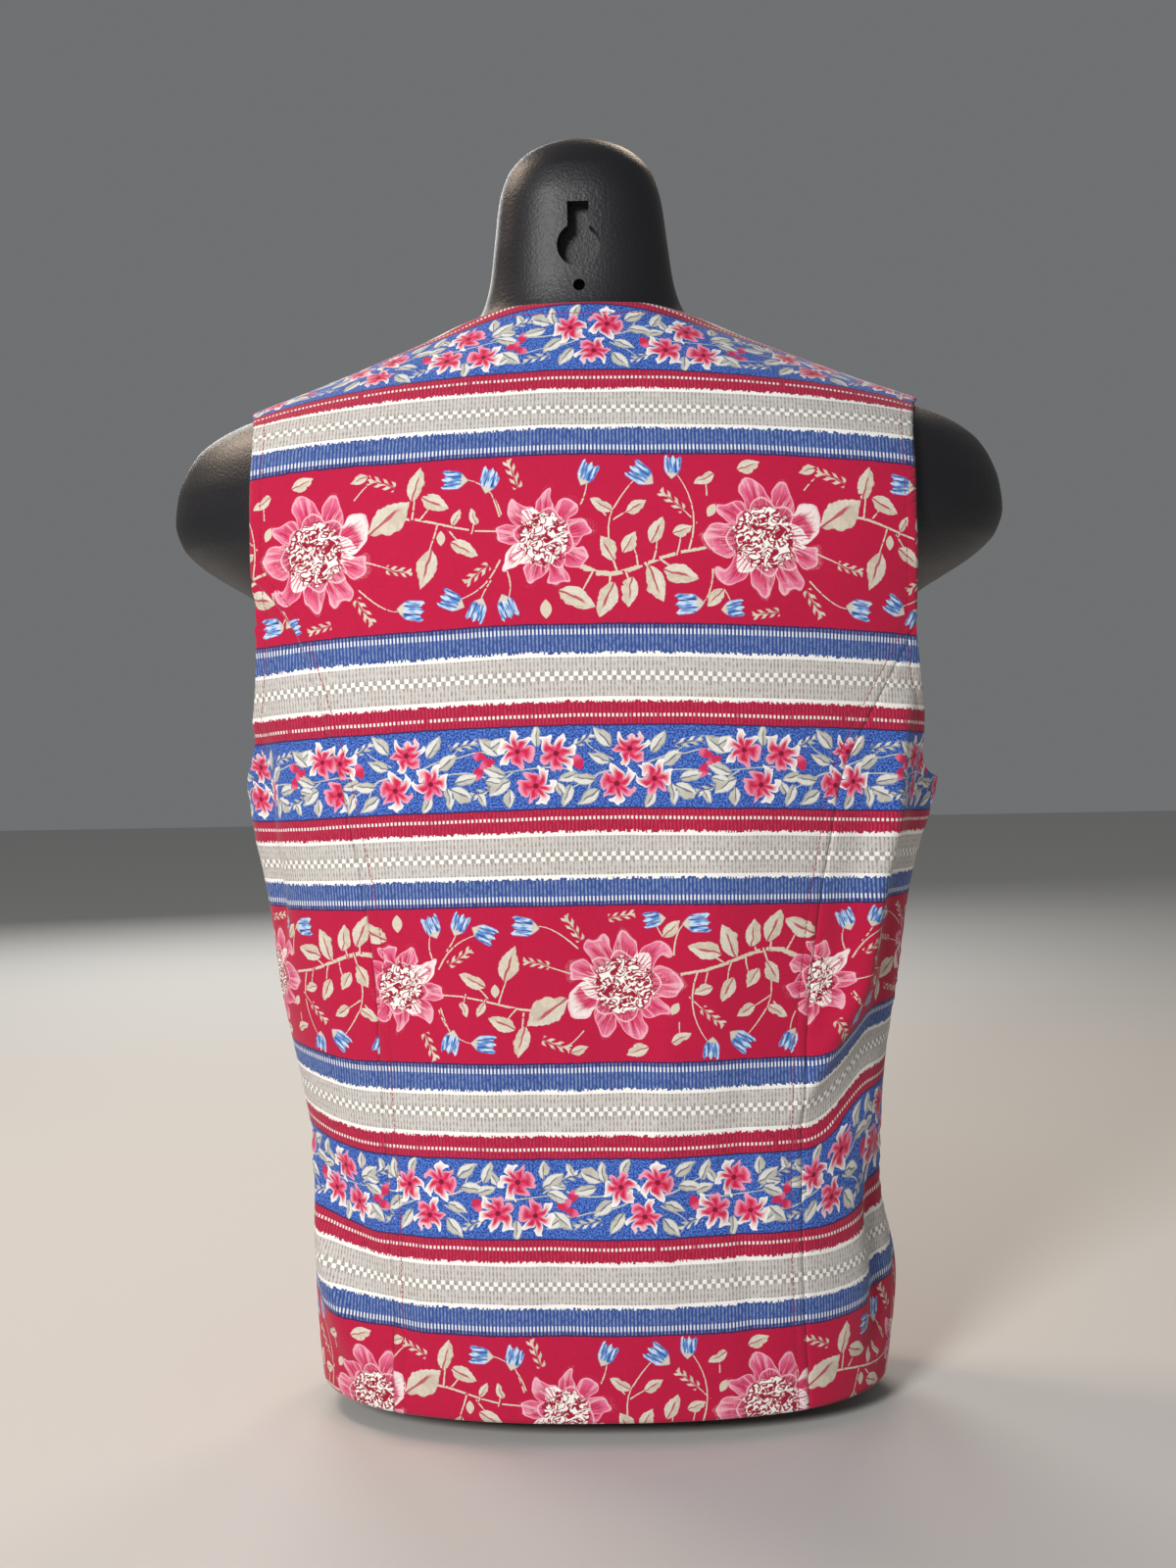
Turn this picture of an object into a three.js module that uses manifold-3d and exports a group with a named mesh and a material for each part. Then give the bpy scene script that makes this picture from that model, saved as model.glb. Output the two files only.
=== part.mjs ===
// A sleeveless printed cotton vest, buttoned down the front, on a smooth limbless torso form.
// Millimetres. +Z is up, -Y is the way the back of the vest faces, +X is the wearer's right.
// The origin is on the flat base of the form, in its middle plane.
import * as THREE from "three";
import { mergeVertices } from "three/addons/utils/BufferGeometryUtils.js";
import Module from "manifold-3d";

const wasm = await Module();
wasm.setup();

// Driving sizes of the garment
const CLOTH = 1.6; // wall: printed cotton with its turned edges
const SEAM_GAP = 0.34; // between two panels that are sewn together
const HEM_Z = 12; // height of the back hem over the base
const UNDERARM_Z = 355; // where the side seam meets the armhole
const PRINCESS_TOP_RIGHT = 441; // where the right princess seam meets the armhole
const PRINCESS_TOP_LEFT = 468; // and the left one, as the vest sits a little askew
const SHOULDER_Z = 563; // outer end of the shoulder seam
const NECK_Z = 611; // centre back neck edge
const NECK_SIDE_DROP = 12; // the neck edge is lower where it meets the shoulder seam
const NECK_SIDE_X = 84; // half width of the neck there
const V_POINT_Z = 432; // lowest point of the front neckline
const LAP = 15; // each front passes the centre line by this much
const LAP_RAISE = 1.55; // the upper front lies this far out, the lower one this far in
const LAP_EASE = 34; // distance over which a front reaches its lap height
const SIDE_RISE = 5; // the hem is drawn up at the sides and front

// Driving sizes of the buttons
const BUTTON_R = 7.5;
const BUTTON_T = 2.8;
const BUTTON_HOLE_R = 0.9;
const BUTTON_HOLE_OFF = 1.9;
const BUTTON_FIRST_Z = 418;
const BUTTON_STEP = 84;
const BUTTON_COUNT = 5;
const BUTTON_GAP = 0.5;

// Driving sizes of the form's hanging slot
const SLOT = { z: 643.5, round: 11.6, half: 5.7, top: 666.5, depth: 13, dimple_z: 622, dimple: 3.2 };

// Horizontal sections of the vest's cloth: half width, back, side and front positions.
const VEST = [
  { z: 5, w: 162.0, back: -80.0, side: 18, front: 121, n: 2.3 },
  { z: 40, w: 165.0, back: -80.5, side: 17, front: 121, n: 2.3 },
  { z: 70, w: 166.0, back: -81.0, side: 16, front: 121, n: 2.3 },
  { z: 128, w: 160.0, back: -82.0, side: 13, front: 118, n: 2.25 },
  { z: 161, w: 163.0, back: -83.5, side: 11, front: 117, n: 2.25 },
  { z: 195, w: 167.5, back: -86.0, side: 9, front: 116, n: 2.3 },
  { z: 241, w: 175.5, back: -91.0, side: 6, front: 117, n: 2.3 },
  { z: 284, w: 181.0, back: -98.0, side: 4, front: 119, n: 2.35 },
  { z: 310, w: 186.0, back: -103.0, side: 3, front: 120, n: 2.35 },
  { z: 335, w: 192.5, back: -108.0, side: 1, front: 122, n: 2.35 },
  { z: 355, w: 195.0, back: -112.0, side: 0, front: 123, n: 2.35 },
  { z: 400, w: 207.0, back: -121.0, side: -2, front: 124, n: 2.35 },
  { z: 440, w: 216.0, back: -129.0, side: -4, front: 121, n: 2.35 },
  { z: 475, w: 229.0, back: -133.0, side: -6, front: 112, n: 2.35 },
  { z: 503, w: 236.0, back: -132.5, side: -6, front: 102, n: 2.35 },
  { z: 520, w: 233.0, back: -129.5, side: -6, front: 93, n: 2.35 },
  { z: 535, w: 226.0, back: -124.5, side: -7, front: 82, n: 2.3 },
  { z: 547, w: 212.0, back: -118.5, side: -9, front: 71, n: 2.25 },
  { z: 556, w: 198.0, back: -113.0, side: -11, front: 63, n: 2.2 },
  { z: 563, w: 183.0, back: -109.0, side: -12, front: 58, n: 2.2 },
  { z: 570, w: 163.5, back: -105.0, side: -13, front: 53, n: 2.15 },
  { z: 581.5, w: 132.5, back: -98.0, side: -15, front: 47, n: 2.1 },
  { z: 590, w: 110.0, back: -92.5, side: -17, front: 42, n: 2.1 },
  { z: 599, w: 87.0, back: -87.0, side: -19, front: 37, n: 2.1 },
  { z: 605, w: 74.5, back: -83.5, side: -21, front: 34, n: 2.15 },
  { z: 611, w: 65.0, back: -80.5, side: -22, front: 31, n: 2.2 },
  { z: 622, w: 59.0, back: -77.5, side: -24, front: 27, n: 2.3 },
];

// Horizontal sections of the torso form, with its rounded shoulder ends.
const FORM = [
  { z: 0, w: 127.0, back: -36.0, side: 22, front: 86, n: 2.2 },
  { z: 14, w: 138.0, back: -52.0, side: 19, front: 99, n: 2.2 },
  { z: 45, w: 145.0, back: -61.0, side: 15, front: 106, n: 2.2 },
  { z: 100, w: 145.0, back: -65.0, side: 12, front: 104, n: 2.2 },
  { z: 180, w: 136.0, back: -69.0, side: 8, front: 94, n: 2.2 },
  { z: 260, w: 141.0, back: -83.0, side: 4, front: 98, n: 2.25 },
  { z: 330, w: 151.0, back: -98.0, side: 1, front: 109, n: 2.3 },
  { z: 371, w: 157.0, back: -108.0, side: -1, front: 114, n: 2.3 },
  { z: 420, w: 163.0, back: -119.0, side: -3, front: 114, n: 2.3 },
  { z: 440, w: 168.0, back: -122.0, side: -4, front: 111, n: 2.3 },
  { z: 450, w: 174.0, back: -124.0, side: -5, front: 109, n: 2.3 },
  { z: 459, w: 185.0, back: -125.5, side: -6, front: 106, n: 2.3 },
  { z: 467, w: 198.0, back: -126.5, side: -6, front: 104, n: 2.3 },
  { z: 475, w: 211.0, back: -127.5, side: -6, front: 102, n: 2.3 },
  { z: 482, w: 220.0, back: -128.0, side: -6, front: 100, n: 2.3 },
  { z: 490, w: 227.0, back: -128.0, side: -6, front: 98, n: 2.3 },
  { z: 503, w: 231.0, back: -127.5, side: -6, front: 94, n: 2.3 },
  { z: 517, w: 229.5, back: -125.0, side: -6, front: 87, n: 2.3 },
  { z: 530, w: 225.0, back: -121.0, side: -7, front: 78, n: 2.25 },
  { z: 541, w: 218.0, back: -115.5, side: -8, front: 69, n: 2.2 },
  { z: 548.5, w: 209.0, back: -111.0, side: -9, front: 62, n: 2.15 },
  { z: 554.5, w: 198.0, back: -107.0, side: -10, front: 57, n: 2.1 },
  { z: 559.8, w: 183.0, back: -104.0, side: -12, front: 53.5, n: 2.08 },
  { z: 566.8, w: 163.0, back: -100.5, side: -13, front: 48.5, n: 2.05 },
  { z: 578.3, w: 131.5, back: -93.0, side: -15, front: 42, n: 2.05 },
  { z: 587, w: 108.5, back: -87.5, side: -17, front: 36.5, n: 2.05 },
  { z: 596, w: 85.5, back: -82.0, side: -19, front: 31.5, n: 2.05 },
  { z: 602, w: 72.0, back: -78.8, side: -21, front: 29, n: 2.1 },
  { z: 608, w: 61.5, back: -76.0, side: -22, front: 27, n: 2.2 },
  { z: 616, w: 55.0, back: -73.5, side: -24, front: 24, n: 2.3 },
  { z: 630, w: 50.5, back: -71.5, side: -25, front: 20, n: 2.5 },
  { z: 651, w: 47.5, back: -71.0, side: -26, front: 17, n: 2.6 },
  { z: 672, w: 44.8, back: -70.5, side: -26, front: 14, n: 2.6 },
  { z: 687, w: 40.5, back: -67.5, side: -26, front: 9, n: 2.5 },
  { z: 697, w: 33.0, back: -60.5, side: -26, front: 2, n: 2.4 },
  { z: 703, w: 24.5, back: -52.0, side: -26, front: -6, n: 2.2 },
  { z: 706.5, w: 14.5, back: -41.0, side: -26, front: -16, n: 2.1 },
];
const FORM_TOP_Z = 708;
const FORM_COLUMNS = 40;

// Half distances from the middle plane of the seams and edges, by height.
const PRINCESS = [
  { z: 5, right: 114, left: 114 },
  { z: 113, right: 111, left: 114 },
  { z: 182, right: 112, left: 116 },
  { z: 243, right: 117, left: 117 },
  { z: 288, right: 122, left: 120 },
  { z: 319, right: 127, left: 124 },
  { z: 358, right: 134, left: 130 },
  { z: 385, right: 146, left: 136 },
  { z: 409, right: 159, left: 142 },
  { z: 430, right: 170, left: 148 },
  { z: 441, right: 174, left: 152.5 },
  { z: 455, right: 174, left: 161.5 },
  { z: 468, right: 174, left: 174 },
];
const ARMHOLE_BACK = [
  { z: 355, x: 194.5 },
  { z: 358, x: 190.5 },
  { z: 365, x: 186 },
  { z: 382, x: 180.5 },
  { z: 411, x: 175.5 },
  { z: 441, x: 174 },
  { z: 468, x: 174 },
  { z: 503, x: 173 },
  { z: 533, x: 173 },
  { z: 549, x: 175 },
  { z: 558, x: 178.5 },
  { z: 563, x: 183 },
];
const ARMHOLE_FRONT = [
  { z: 355, x: 194.5 },
  { z: 358, x: 188 },
  { z: 365, x: 180 },
  { z: 380, x: 170 },
  { z: 405, x: 162 },
  { z: 435, x: 158 },
  { z: 475, x: 158 },
  { z: 512, x: 165 },
  { z: 541, x: 174 },
  { z: 563, x: 183 },
];

// Folds of the cloth. A path runs through heights and turns, where turn 0 is the centre back, 1 the
// wearer's right side seam, -1 the left one and 2 the centre front. Depth is outward.
const FOLDS = [
  { name: "right side tuck", z: [425, 340, 240, 165], turn: [0.66, 0.7, 0.7, 0.56], depth: -15, half: 15 },
  { name: "right back edge", z: [410, 340, 240, 175], turn: [0.53, 0.57, 0.56, 0.44], depth: 5, half: 17 },
  { name: "right waist", z: [345, 280, 220, 140], turn: [0.95, 0.96, 0.96, 0.95], depth: -5, half: 34 },
  { name: "left waist", z: [330, 270, 210, 130], turn: [-1, -1, -1, -1], depth: 5, half: 34 },
  { name: "right hip hollow", z: [150, 110, 75, 30], turn: [0.9, 0.86, 0.84, 0.8], depth: -9, half: 15 },
  { name: "right hip flare", z: [105, 78, 55, 20], turn: [1.14, 1.14, 1.12, 1.1], depth: 8, half: 20 },
  { name: "left hip crease", z: [150, 110, 75, 35], turn: [-0.94, -0.86, -0.76, -0.66], depth: 6, half: 15 },
  { name: "left hip hollow", z: [150, 110, 75, 40], turn: [-0.76, -0.68, -0.58, -0.5], depth: -3, half: 14 },
  { name: "left underarm tuck", z: [390, 350, 305, 260], turn: [-0.72, -0.79, -0.84, -0.87], depth: -8, half: 13 },
  { name: "left armhole pucker", z: [466, 452, 440, 420], turn: [-0.66, -0.62, -0.58, -0.55], depth: -2.5, half: 7 },
  { name: "back right soft fold", z: [400, 320, 240, 150], turn: [0.3, 0.29, 0.27, 0.25], depth: 2.2, half: 20 },
  { name: "back middle hollow", z: [380, 300, 220, 130], turn: [0.05, 0.07, 0.06, 0.02], depth: -2.2, half: 26 },
  { name: "back left soft fold", z: [330, 250, 170, 90], turn: [-0.27, -0.28, -0.31, -0.34], depth: 2, half: 22 },
  { name: "right front drape", z: [340, 260, 170, 60], turn: [1.36, 1.34, 1.3, 1.27], depth: 6, half: 22 },
  { name: "right front hollow", z: [330, 250, 160, 70], turn: [1.6, 1.58, 1.56, 1.55], depth: -4, half: 20 },
  { name: "left front drape", z: [350, 270, 180, 50], turn: [-1.33, -1.36, -1.4, -1.42], depth: 6, half: 22 },
  { name: "left front hollow", z: [300, 230, 150, 80], turn: [-1.62, -1.6, -1.62, -1.66], depth: -4, half: 20 },
];

// Monotone cubic curve through a table's column, by height.
function curveOf(table, column) {
  const z = table.map((row) => row.z);
  const v = table.map((row) => row[column]);
  const step = z.slice(1).map((top, i) => (v[i + 1] - v[i]) / (top - z[i]));
  const slope = v.map((_, i) => {
    if (i === 0) return step[0];
    if (i === v.length - 1) return step[i - 1];
    if (step[i - 1] * step[i] <= 0) return 0;
    return (2 * step[i - 1] * step[i]) / (step[i - 1] + step[i]);
  });
  return (at) => {
    const clamped = Math.min(Math.max(at, z[0]), z[z.length - 1]);
    let i = 0;
    while (i < z.length - 2 && clamped > z[i + 1]) i += 1;
    const width = z[i + 1] - z[i];
    const t = (clamped - z[i]) / width;
    const a = v[i] * (1 + 2 * t) * (1 - t) ** 2 + v[i + 1] * t * t * (3 - 2 * t);
    return a + width * t * (1 - t) * (slope[i] * (1 - t) - slope[i + 1] * t);
  };
}

function smooth(low, high, at) {
  const t = Math.min(Math.max((at - low) / (high - low), 0), 1);
  return t * t * (3 - 2 * t);
}

// A stack of sections, each walked by turn with even steps along each quarter.
class Stack {
  constructor(table) {
    this.curves = Object.fromEntries(["w", "back", "side", "front", "n"].map((c) => [c, curveOf(table, c)]));
    this.quarters = new Map();
  }

  // Points of the back and front quarters at a height, with the length walked to each.
  quartersAt(z) {
    const key = Math.round(z * 1000);
    if (this.quarters.has(key)) return this.quarters.get(key);
    const { w, back, side, front, n } = this.curves;
    const power = 2 / n(z);
    const steps = 72;
    const walk = (reach) => {
      const points = [];
      for (let i = 0; i <= steps; i += 1) {
        const angle = (Math.PI / 2) * (i / steps);
        const x = w(z) * Math.sin(angle) ** power;
        const y = side(z) + reach * Math.max(Math.cos(angle), 0) ** power;
        const last = points[i - 1];
        const length = last ? last.length + Math.hypot(x - last.x, y - last.y) : 0;
        points.push({ x, y, length });
      }
      return points;
    };
    const made = { back: walk(back(z) - side(z)), front: walk(front(z) - side(z)) };
    this.quarters.set(key, made);
    return made;
  }

  // x and y at a turn: 0 centre back, 1 right side, 2 centre front; past 2 it runs on round.
  at(turn, z) {
    let t = turn;
    if (t > 2) t -= 4;
    if (t < -2) t += 4;
    const part = Math.abs(t) <= 1 ? this.quartersAt(z).back : this.quartersAt(z).front;
    const share = Math.abs(t) <= 1 ? Math.abs(t) : 2 - Math.abs(t);
    const goal = share * part[part.length - 1].length;
    let i = 0;
    while (i < part.length - 2 && goal > part[i + 1].length) i += 1;
    const s = (goal - part[i].length) / (part[i + 1].length - part[i].length);
    const x = part[i].x + s * (part[i + 1].x - part[i].x);
    const y = part[i].y + s * (part[i + 1].y - part[i].y);
    return { x: Math.sign(t) * x, y };
  }

  // The turn, on the right, at which a quarter reaches a half distance x.
  turnAt(x, z, onFront) {
    const part = onFront ? this.quartersAt(z).front : this.quartersAt(z).back;
    let i = 0;
    while (i < part.length - 2 && Math.abs(x) > part[i + 1].x) i += 1;
    const s = Math.min((Math.abs(x) - part[i].x) / (part[i + 1].x - part[i].x), 1);
    const length = part[i].length + s * (part[i + 1].length - part[i].length);
    const share = length / part[part.length - 1].length;
    if (!onFront) return share;
    return x < 0 ? 2 + share : 2 - share;
  }

  quarterLength(z, onFront) {
    const part = onFront ? this.quartersAt(z).front : this.quartersAt(z).back;
    return part[part.length - 1].length;
  }
}

const vest = new Stack(VEST);
const form = new Stack(FORM);
const princessX = { right: curveOf(PRINCESS, "right"), left: curveOf(PRINCESS, "left") };
const princessTop = { right: PRINCESS_TOP_RIGHT, left: PRINCESS_TOP_LEFT };
const armholeBackX = curveOf(ARMHOLE_BACK, "x");
const armholeFrontX = curveOf(ARMHOLE_FRONT, "x");

// How far a fold pushes the cloth out at a turn and height.
function foldAt(fold, turn, z) {
  const top = fold.z[0];
  const low = fold.z[fold.z.length - 1];
  if (z > top || z < low) return 0;
  let i = 0;
  while (i < fold.z.length - 2 && z < fold.z[i + 1]) i += 1;
  const t = (fold.z[i] - z) / (fold.z[i] - fold.z[i + 1]);
  const middle = fold.turn[i] + t * (fold.turn[i + 1] - fold.turn[i]);
  const away = (turn - middle) * vest.quarterLength(z, Math.abs(turn) > 1);
  const along = Math.sin((Math.PI * (top - z)) / (top - low));
  return fold.depth * Math.sqrt(along) * Math.exp(-((away / fold.half) ** 2));
}

// The drawn-up hem at the sides and front, and the neck edge's drop towards the shoulder seams.
function riseAt(turn, z) {
  const side = smooth(0.5, 1.05, Math.abs(turn));
  const low = 1 - smooth(110, 280, z);
  const neck = smooth(0.3, 1, Math.abs(turn)) * smooth(SHOULDER_Z, NECK_Z, z);
  return SIDE_RISE * side * low - NECK_SIDE_DROP * neck;
}

// A point of the cloth's middle surface. Height here is the height before the cloth is drawn up.
function clothPoint(turn, height, lift = 0) {
  const z = height + riseAt(turn, height);
  const { x, y } = vest.at(turn, z);
  const before = vest.at(turn - 0.004, z);
  const after = vest.at(turn + 0.004, z);
  const dx = after.x - before.x;
  const dy = after.y - before.y;
  const length = Math.hypot(dx, dy);
  const out = FOLDS.reduce((sum, fold) => sum + foldAt(fold, turn, height), lift);
  return new THREE.Vector3(x + (out * dy) / length, y - (out * dx) / length, z);
}

// The cloth's outward direction, from its neighbours.
function clothNormal(turn, height, liftAt) {
  const a = 0.01;
  const b = 2;
  const across = clothPoint(turn + a, height, liftAt(turn + a)).sub(clothPoint(turn - a, height, liftAt(turn - a)));
  const up = clothPoint(turn, height + b, liftAt(turn)).sub(clothPoint(turn, height - b, liftAt(turn)));
  return across.cross(up).normalize();
}

// A closed wall over a grid of points with their outward directions.
function wall(rows) {
  const columns = rows[0].length;
  const position = [];
  for (const side of [0.5, -0.5]) {
    for (const row of rows) {
      for (const { point, normal } of row) {
        position.push(...point.clone().addScaledVector(normal, side * CLOTH).toArray());
      }
    }
  }
  const inner = rows.length * columns;
  const index = [];
  const quad = (a, b, c, d) => index.push(a, b, c, a, c, d);
  for (let j = 0; j < rows.length - 1; j += 1) {
    for (let i = 0; i < columns - 1; i += 1) {
      const a = j * columns + i;
      quad(a, a + 1, a + 1 + columns, a + columns);
      quad(inner + a, inner + a + columns, inner + a + 1 + columns, inner + a + 1);
    }
  }
  const rim = (a, b) => quad(b, a, inner + a, inner + b);
  const last = (rows.length - 1) * columns;
  for (let i = 0; i < columns - 1; i += 1) {
    rim(i, i + 1);
    rim(last + i + 1, last + i);
  }
  for (let j = 0; j < rows.length - 1; j += 1) {
    rim((j + 1) * columns, j * columns);
    rim(j * columns + columns - 1, (j + 1) * columns + columns - 1);
  }
  const geometry = new THREE.BufferGeometry();
  geometry.setAttribute("position", new THREE.Float32BufferAttribute(position, 3));
  geometry.setIndex(index);
  return geometry;
}

// Heights between two ends, evenly spaced, without the last one.
function heights(from, to, count) {
  return Array.from({ length: count }, (_, i) => from + ((to - from) * i) / count);
}

// A panel between two edges, each a function of height that gives a turn. Its columns are spread
// between two guides that lie on or outside the edges, and are cut off where they pass an edge.
function panel(levels, columns, edges, guides = edges, liftAt = () => 0) {
  const rows = levels.map((z) => {
    const [first, last] = edges.map((edge) => edge(z));
    const [from, to] = guides.map((guide) => guide(z));
    const step = (to - from) / columns;
    return Array.from({ length: columns + 1 }, (_, i) => {
      let turn = from + step * i;
      if (i === 0 || turn < first + 0.2 * step) turn = first;
      if (i === columns || turn > last - 0.2 * step) turn = last;
      return { point: clothPoint(turn, z, liftAt(turn)), normal: clothNormal(turn, z, liftAt) };
    });
  });
  return wall(rows);
}

const halfGap = (z, onFront = false) => SEAM_GAP / 2 / vest.quarterLength(z, onFront);

// Half the centre back panel's width: princess seam, then armhole, then shoulder seam.
function backCentreEdge(z, hand) {
  const x = z < princessTop[hand] ? princessX[hand](z) : armholeBackX(z);
  return z < SHOULDER_Z ? vest.turnAt(x, z, false) - halfGap(z) : 1 - halfGap(z);
}

function backSideInner(z, hand) {
  return vest.turnAt(princessX[hand](z), z, false) + halfGap(z);
}

function backSideOuter(z) {
  const seam = 1 - halfGap(z);
  return z <= UNDERARM_Z ? seam : Math.min(seam, vest.turnAt(armholeBackX(z), z, false));
}

function frontOuter(z) {
  const seam = 1 + halfGap(z, true);
  if (z <= UNDERARM_Z || z >= SHOULDER_Z) return seam;
  return Math.max(seam, vest.turnAt(armholeFrontX(z), z, true));
}

// Between the armhole's edge and the side or shoulder seam: out at both ends of the armhole, in between.
function armholeGuide(z, edge, seam) {
  const out = 1 - smooth(UNDERARM_Z, UNDERARM_Z + 70, z) + smooth(SHOULDER_Z - 75, SHOULDER_Z, z);
  return edge + (seam - edge) * out;
}

// The front edge: straight down the lap, then the slanting neckline.
function frontInner(z) {
  if (z <= V_POINT_Z) return 2 + LAP / vest.quarterLength(z, true);
  const share = (z - V_POINT_Z) / (NECK_Z - V_POINT_Z);
  return vest.turnAt(-LAP + (NECK_SIDE_X + LAP) * share, z - NECK_SIDE_DROP * smooth(SHOULDER_Z, NECK_Z, z), true);
}

// The right front laps over the left one along the centre line.
function lapLift(direction) {
  return (turn) => {
    const past = (Math.abs(turn) - 2) * 190;
    return direction * LAP_RAISE * smooth(-LAP - LAP_EASE, -LAP - 4, past);
  };
}

// Neighbouring panels share their heights, so that a seam's two edges run alongside.
const LOW_LEVELS = heights(HEM_Z, UNDERARM_Z, 17);
const ARM_LEVELS = [0, 3, 6, 11, 19, 31, 45, 60, 75].map((up) => UNDERARM_Z + up);
const CHEST_LEVELS = [PRINCESS_TOP_RIGHT, 448, 456, 463, PRINCESS_TOP_LEFT];
const SHOULDER_LEVELS = [482, 497, 512, 526, 539, 550, 557];
const NECK_LEVELS = [SHOULDER_Z, 571, 581, 591, 601, NECK_Z];
const BACK_LEVELS = [...LOW_LEVELS, ...ARM_LEVELS, ...CHEST_LEVELS, ...SHOULDER_LEVELS, ...NECK_LEVELS];
const FRONT_LEVELS = [...BACK_LEVELS, V_POINT_Z].sort((a, b) => a - b).filter((z, i, all) => z - (all[i - 1] ?? 0) > 1);

const mirrored = ([first, last]) => [(z) => -last(z), (z) => -first(z)];

function backCentre() {
  const edge = { right: (z) => backCentreEdge(z, "right"), left: (z) => backCentreEdge(z, "left") };
  const guide = (hand) => (z) => (z < SHOULDER_Z - 75 ? edge[hand](z) : armholeGuide(z, edge[hand](z), 1 - halfGap(z)));
  return panel(BACK_LEVELS, 20, [(z) => -edge.left(z), edge.right], [(z) => -guide("left")(z), guide("right")]);
}

function backSide(hand) {
  const top = princessTop[hand] - 2.5;
  const levels = [...BACK_LEVELS.filter((z) => z < top - 1), top];
  const inner = (z) => backSideInner(z, hand);
  const edges = [inner, backSideOuter];
  const guides = [inner, (z) => armholeGuide(z, backSideOuter(z), 1 - halfGap(z))];
  if (hand === "right") return panel(levels, 11, edges, guides);
  return panel(levels, 11, mirrored(edges), mirrored(guides));
}

function frontPanel(hand) {
  const edges = [frontOuter, frontInner];
  const guides = [(z) => armholeGuide(z, frontOuter(z), 1 + halfGap(z, true)), frontInner];
  if (hand === "right") return panel(FRONT_LEVELS, 14, edges, guides, lapLift(1));
  return panel(FRONT_LEVELS, 14, mirrored(edges), mirrored(guides), lapLift(-1));
}

// Solids for cutting: a closed mesh with shared vertices.
function solidOf(geometry) {
  const bare = new THREE.BufferGeometry();
  bare.setAttribute("position", geometry.getAttribute("position"));
  bare.setIndex(geometry.index);
  const merged = mergeVertices(bare, 1e-3);
  const mesh = new wasm.Mesh({
    numProp: 3,
    vertProperties: new Float32Array(merged.attributes.position.array),
    triVerts: new Uint32Array(merged.index.array),
  });
  return new wasm.Manifold(mesh);
}

function geometryOf(solid) {
  const mesh = solid.getMesh();
  const geometry = new THREE.BufferGeometry();
  geometry.setAttribute("position", new THREE.BufferAttribute(new Float32Array(mesh.vertProperties), 3));
  geometry.setIndex(new THREE.BufferAttribute(new Uint32Array(mesh.triVerts), 1));
  return geometry;
}

// The form's skin: rings of its sections, closed by a flat base and a rounded crown.
function formSkin() {
  const levels = FORM.map((row) => row.z);
  const position = [];
  for (const z of levels) {
    for (let i = 0; i < FORM_COLUMNS; i += 1) {
      const { x, y } = form.at(-2 + (4 * i) / FORM_COLUMNS, z);
      position.push(x, y, z);
    }
  }
  const base = levels.length * FORM_COLUMNS;
  position.push(0, 25, 0, 0, -28, FORM_TOP_Z);
  const index = [];
  for (let i = 0; i < FORM_COLUMNS; i += 1) {
    const next = (i + 1) % FORM_COLUMNS;
    for (let j = 0; j < levels.length - 1; j += 1) {
      const [a, b] = [j * FORM_COLUMNS + i, j * FORM_COLUMNS + next];
      index.push(a, b, b + FORM_COLUMNS, a, b + FORM_COLUMNS, a + FORM_COLUMNS);
    }
    const crown = (levels.length - 1) * FORM_COLUMNS;
    index.push(base, next, i, base + 1, crown + i, crown + next);
  }
  const geometry = new THREE.BufferGeometry();
  geometry.setAttribute("position", new THREE.Float32BufferAttribute(position, 3));
  geometry.setIndex(index);
  return geometry;
}

// The outline of the hanging slot: a round mouth with a narrower slot above it.
function slotOutline() {
  const meet = Math.asin(SLOT.half / SLOT.round);
  const shape = new THREE.Shape();
  shape.moveTo(SLOT.half, SLOT.top - SLOT.z);
  shape.lineTo(-SLOT.half, SLOT.top - SLOT.z);
  shape.absarc(0, 0, SLOT.round, Math.PI / 2 + meet, Math.PI / 2 - meet + 2 * Math.PI, false);
  return shape;
}

function pocket(shape, z, segments) {
  const depth = SLOT.depth + 20;
  const geometry = new THREE.ExtrudeGeometry(shape, { depth, bevelEnabled: false, curveSegments: segments });
  // Outline in XZ, depth towards the front of the form.
  geometry.rotateX(Math.PI / 2);
  geometry.translate(0, -71 + SLOT.depth, z);
  geometry.deleteAttribute("normal");
  geometry.deleteAttribute("uv");
  return mergeVertices(geometry, 1e-3);
}

function torsoForm() {
  const dimple = new THREE.Shape();
  dimple.absarc(0, 0, SLOT.dimple, 0, 2 * Math.PI, false);
  const cut = solidOf(formSkin())
    .subtract(solidOf(pocket(slotOutline(), SLOT.z, 20)))
    .subtract(solidOf(pocket(dimple, SLOT.dimple_z, 8)));
  return geometryOf(cut);
}

// A four-hole button with a raised rim, its face towards +Z.
function button() {
  const profile = [
    [0, 0],
    [BUTTON_R - 1.2, 0],
    [BUTTON_R, 1.0],
    [BUTTON_R - 0.5, BUTTON_T],
    [BUTTON_R - 1.8, BUTTON_T],
    [BUTTON_R - 2.6, BUTTON_T - 0.9],
    [0, BUTTON_T - 0.9],
  ];
  const disc = new THREE.LatheGeometry(profile.map(([r, z]) => new THREE.Vector2(r, z)), 20);
  disc.rotateX(Math.PI / 2);
  disc.deleteAttribute("normal");
  disc.deleteAttribute("uv");
  let solid = solidOf(mergeVertices(disc, 1e-3));
  for (const [across, along] of [[1, 1], [1, -1], [-1, 1], [-1, -1]]) {
    const hole = new THREE.CylinderGeometry(BUTTON_HOLE_R, BUTTON_HOLE_R, 3 * BUTTON_T, 6);
    hole.rotateX(Math.PI / 2);
    hole.translate(across * BUTTON_HOLE_OFF, along * BUTTON_HOLE_OFF, 0);
    hole.deleteAttribute("normal");
    hole.deleteAttribute("uv");
    solid = solid.subtract(solidOf(mergeVertices(hole, 1e-3)));
  }
  return geometryOf(solid);
}

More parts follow.
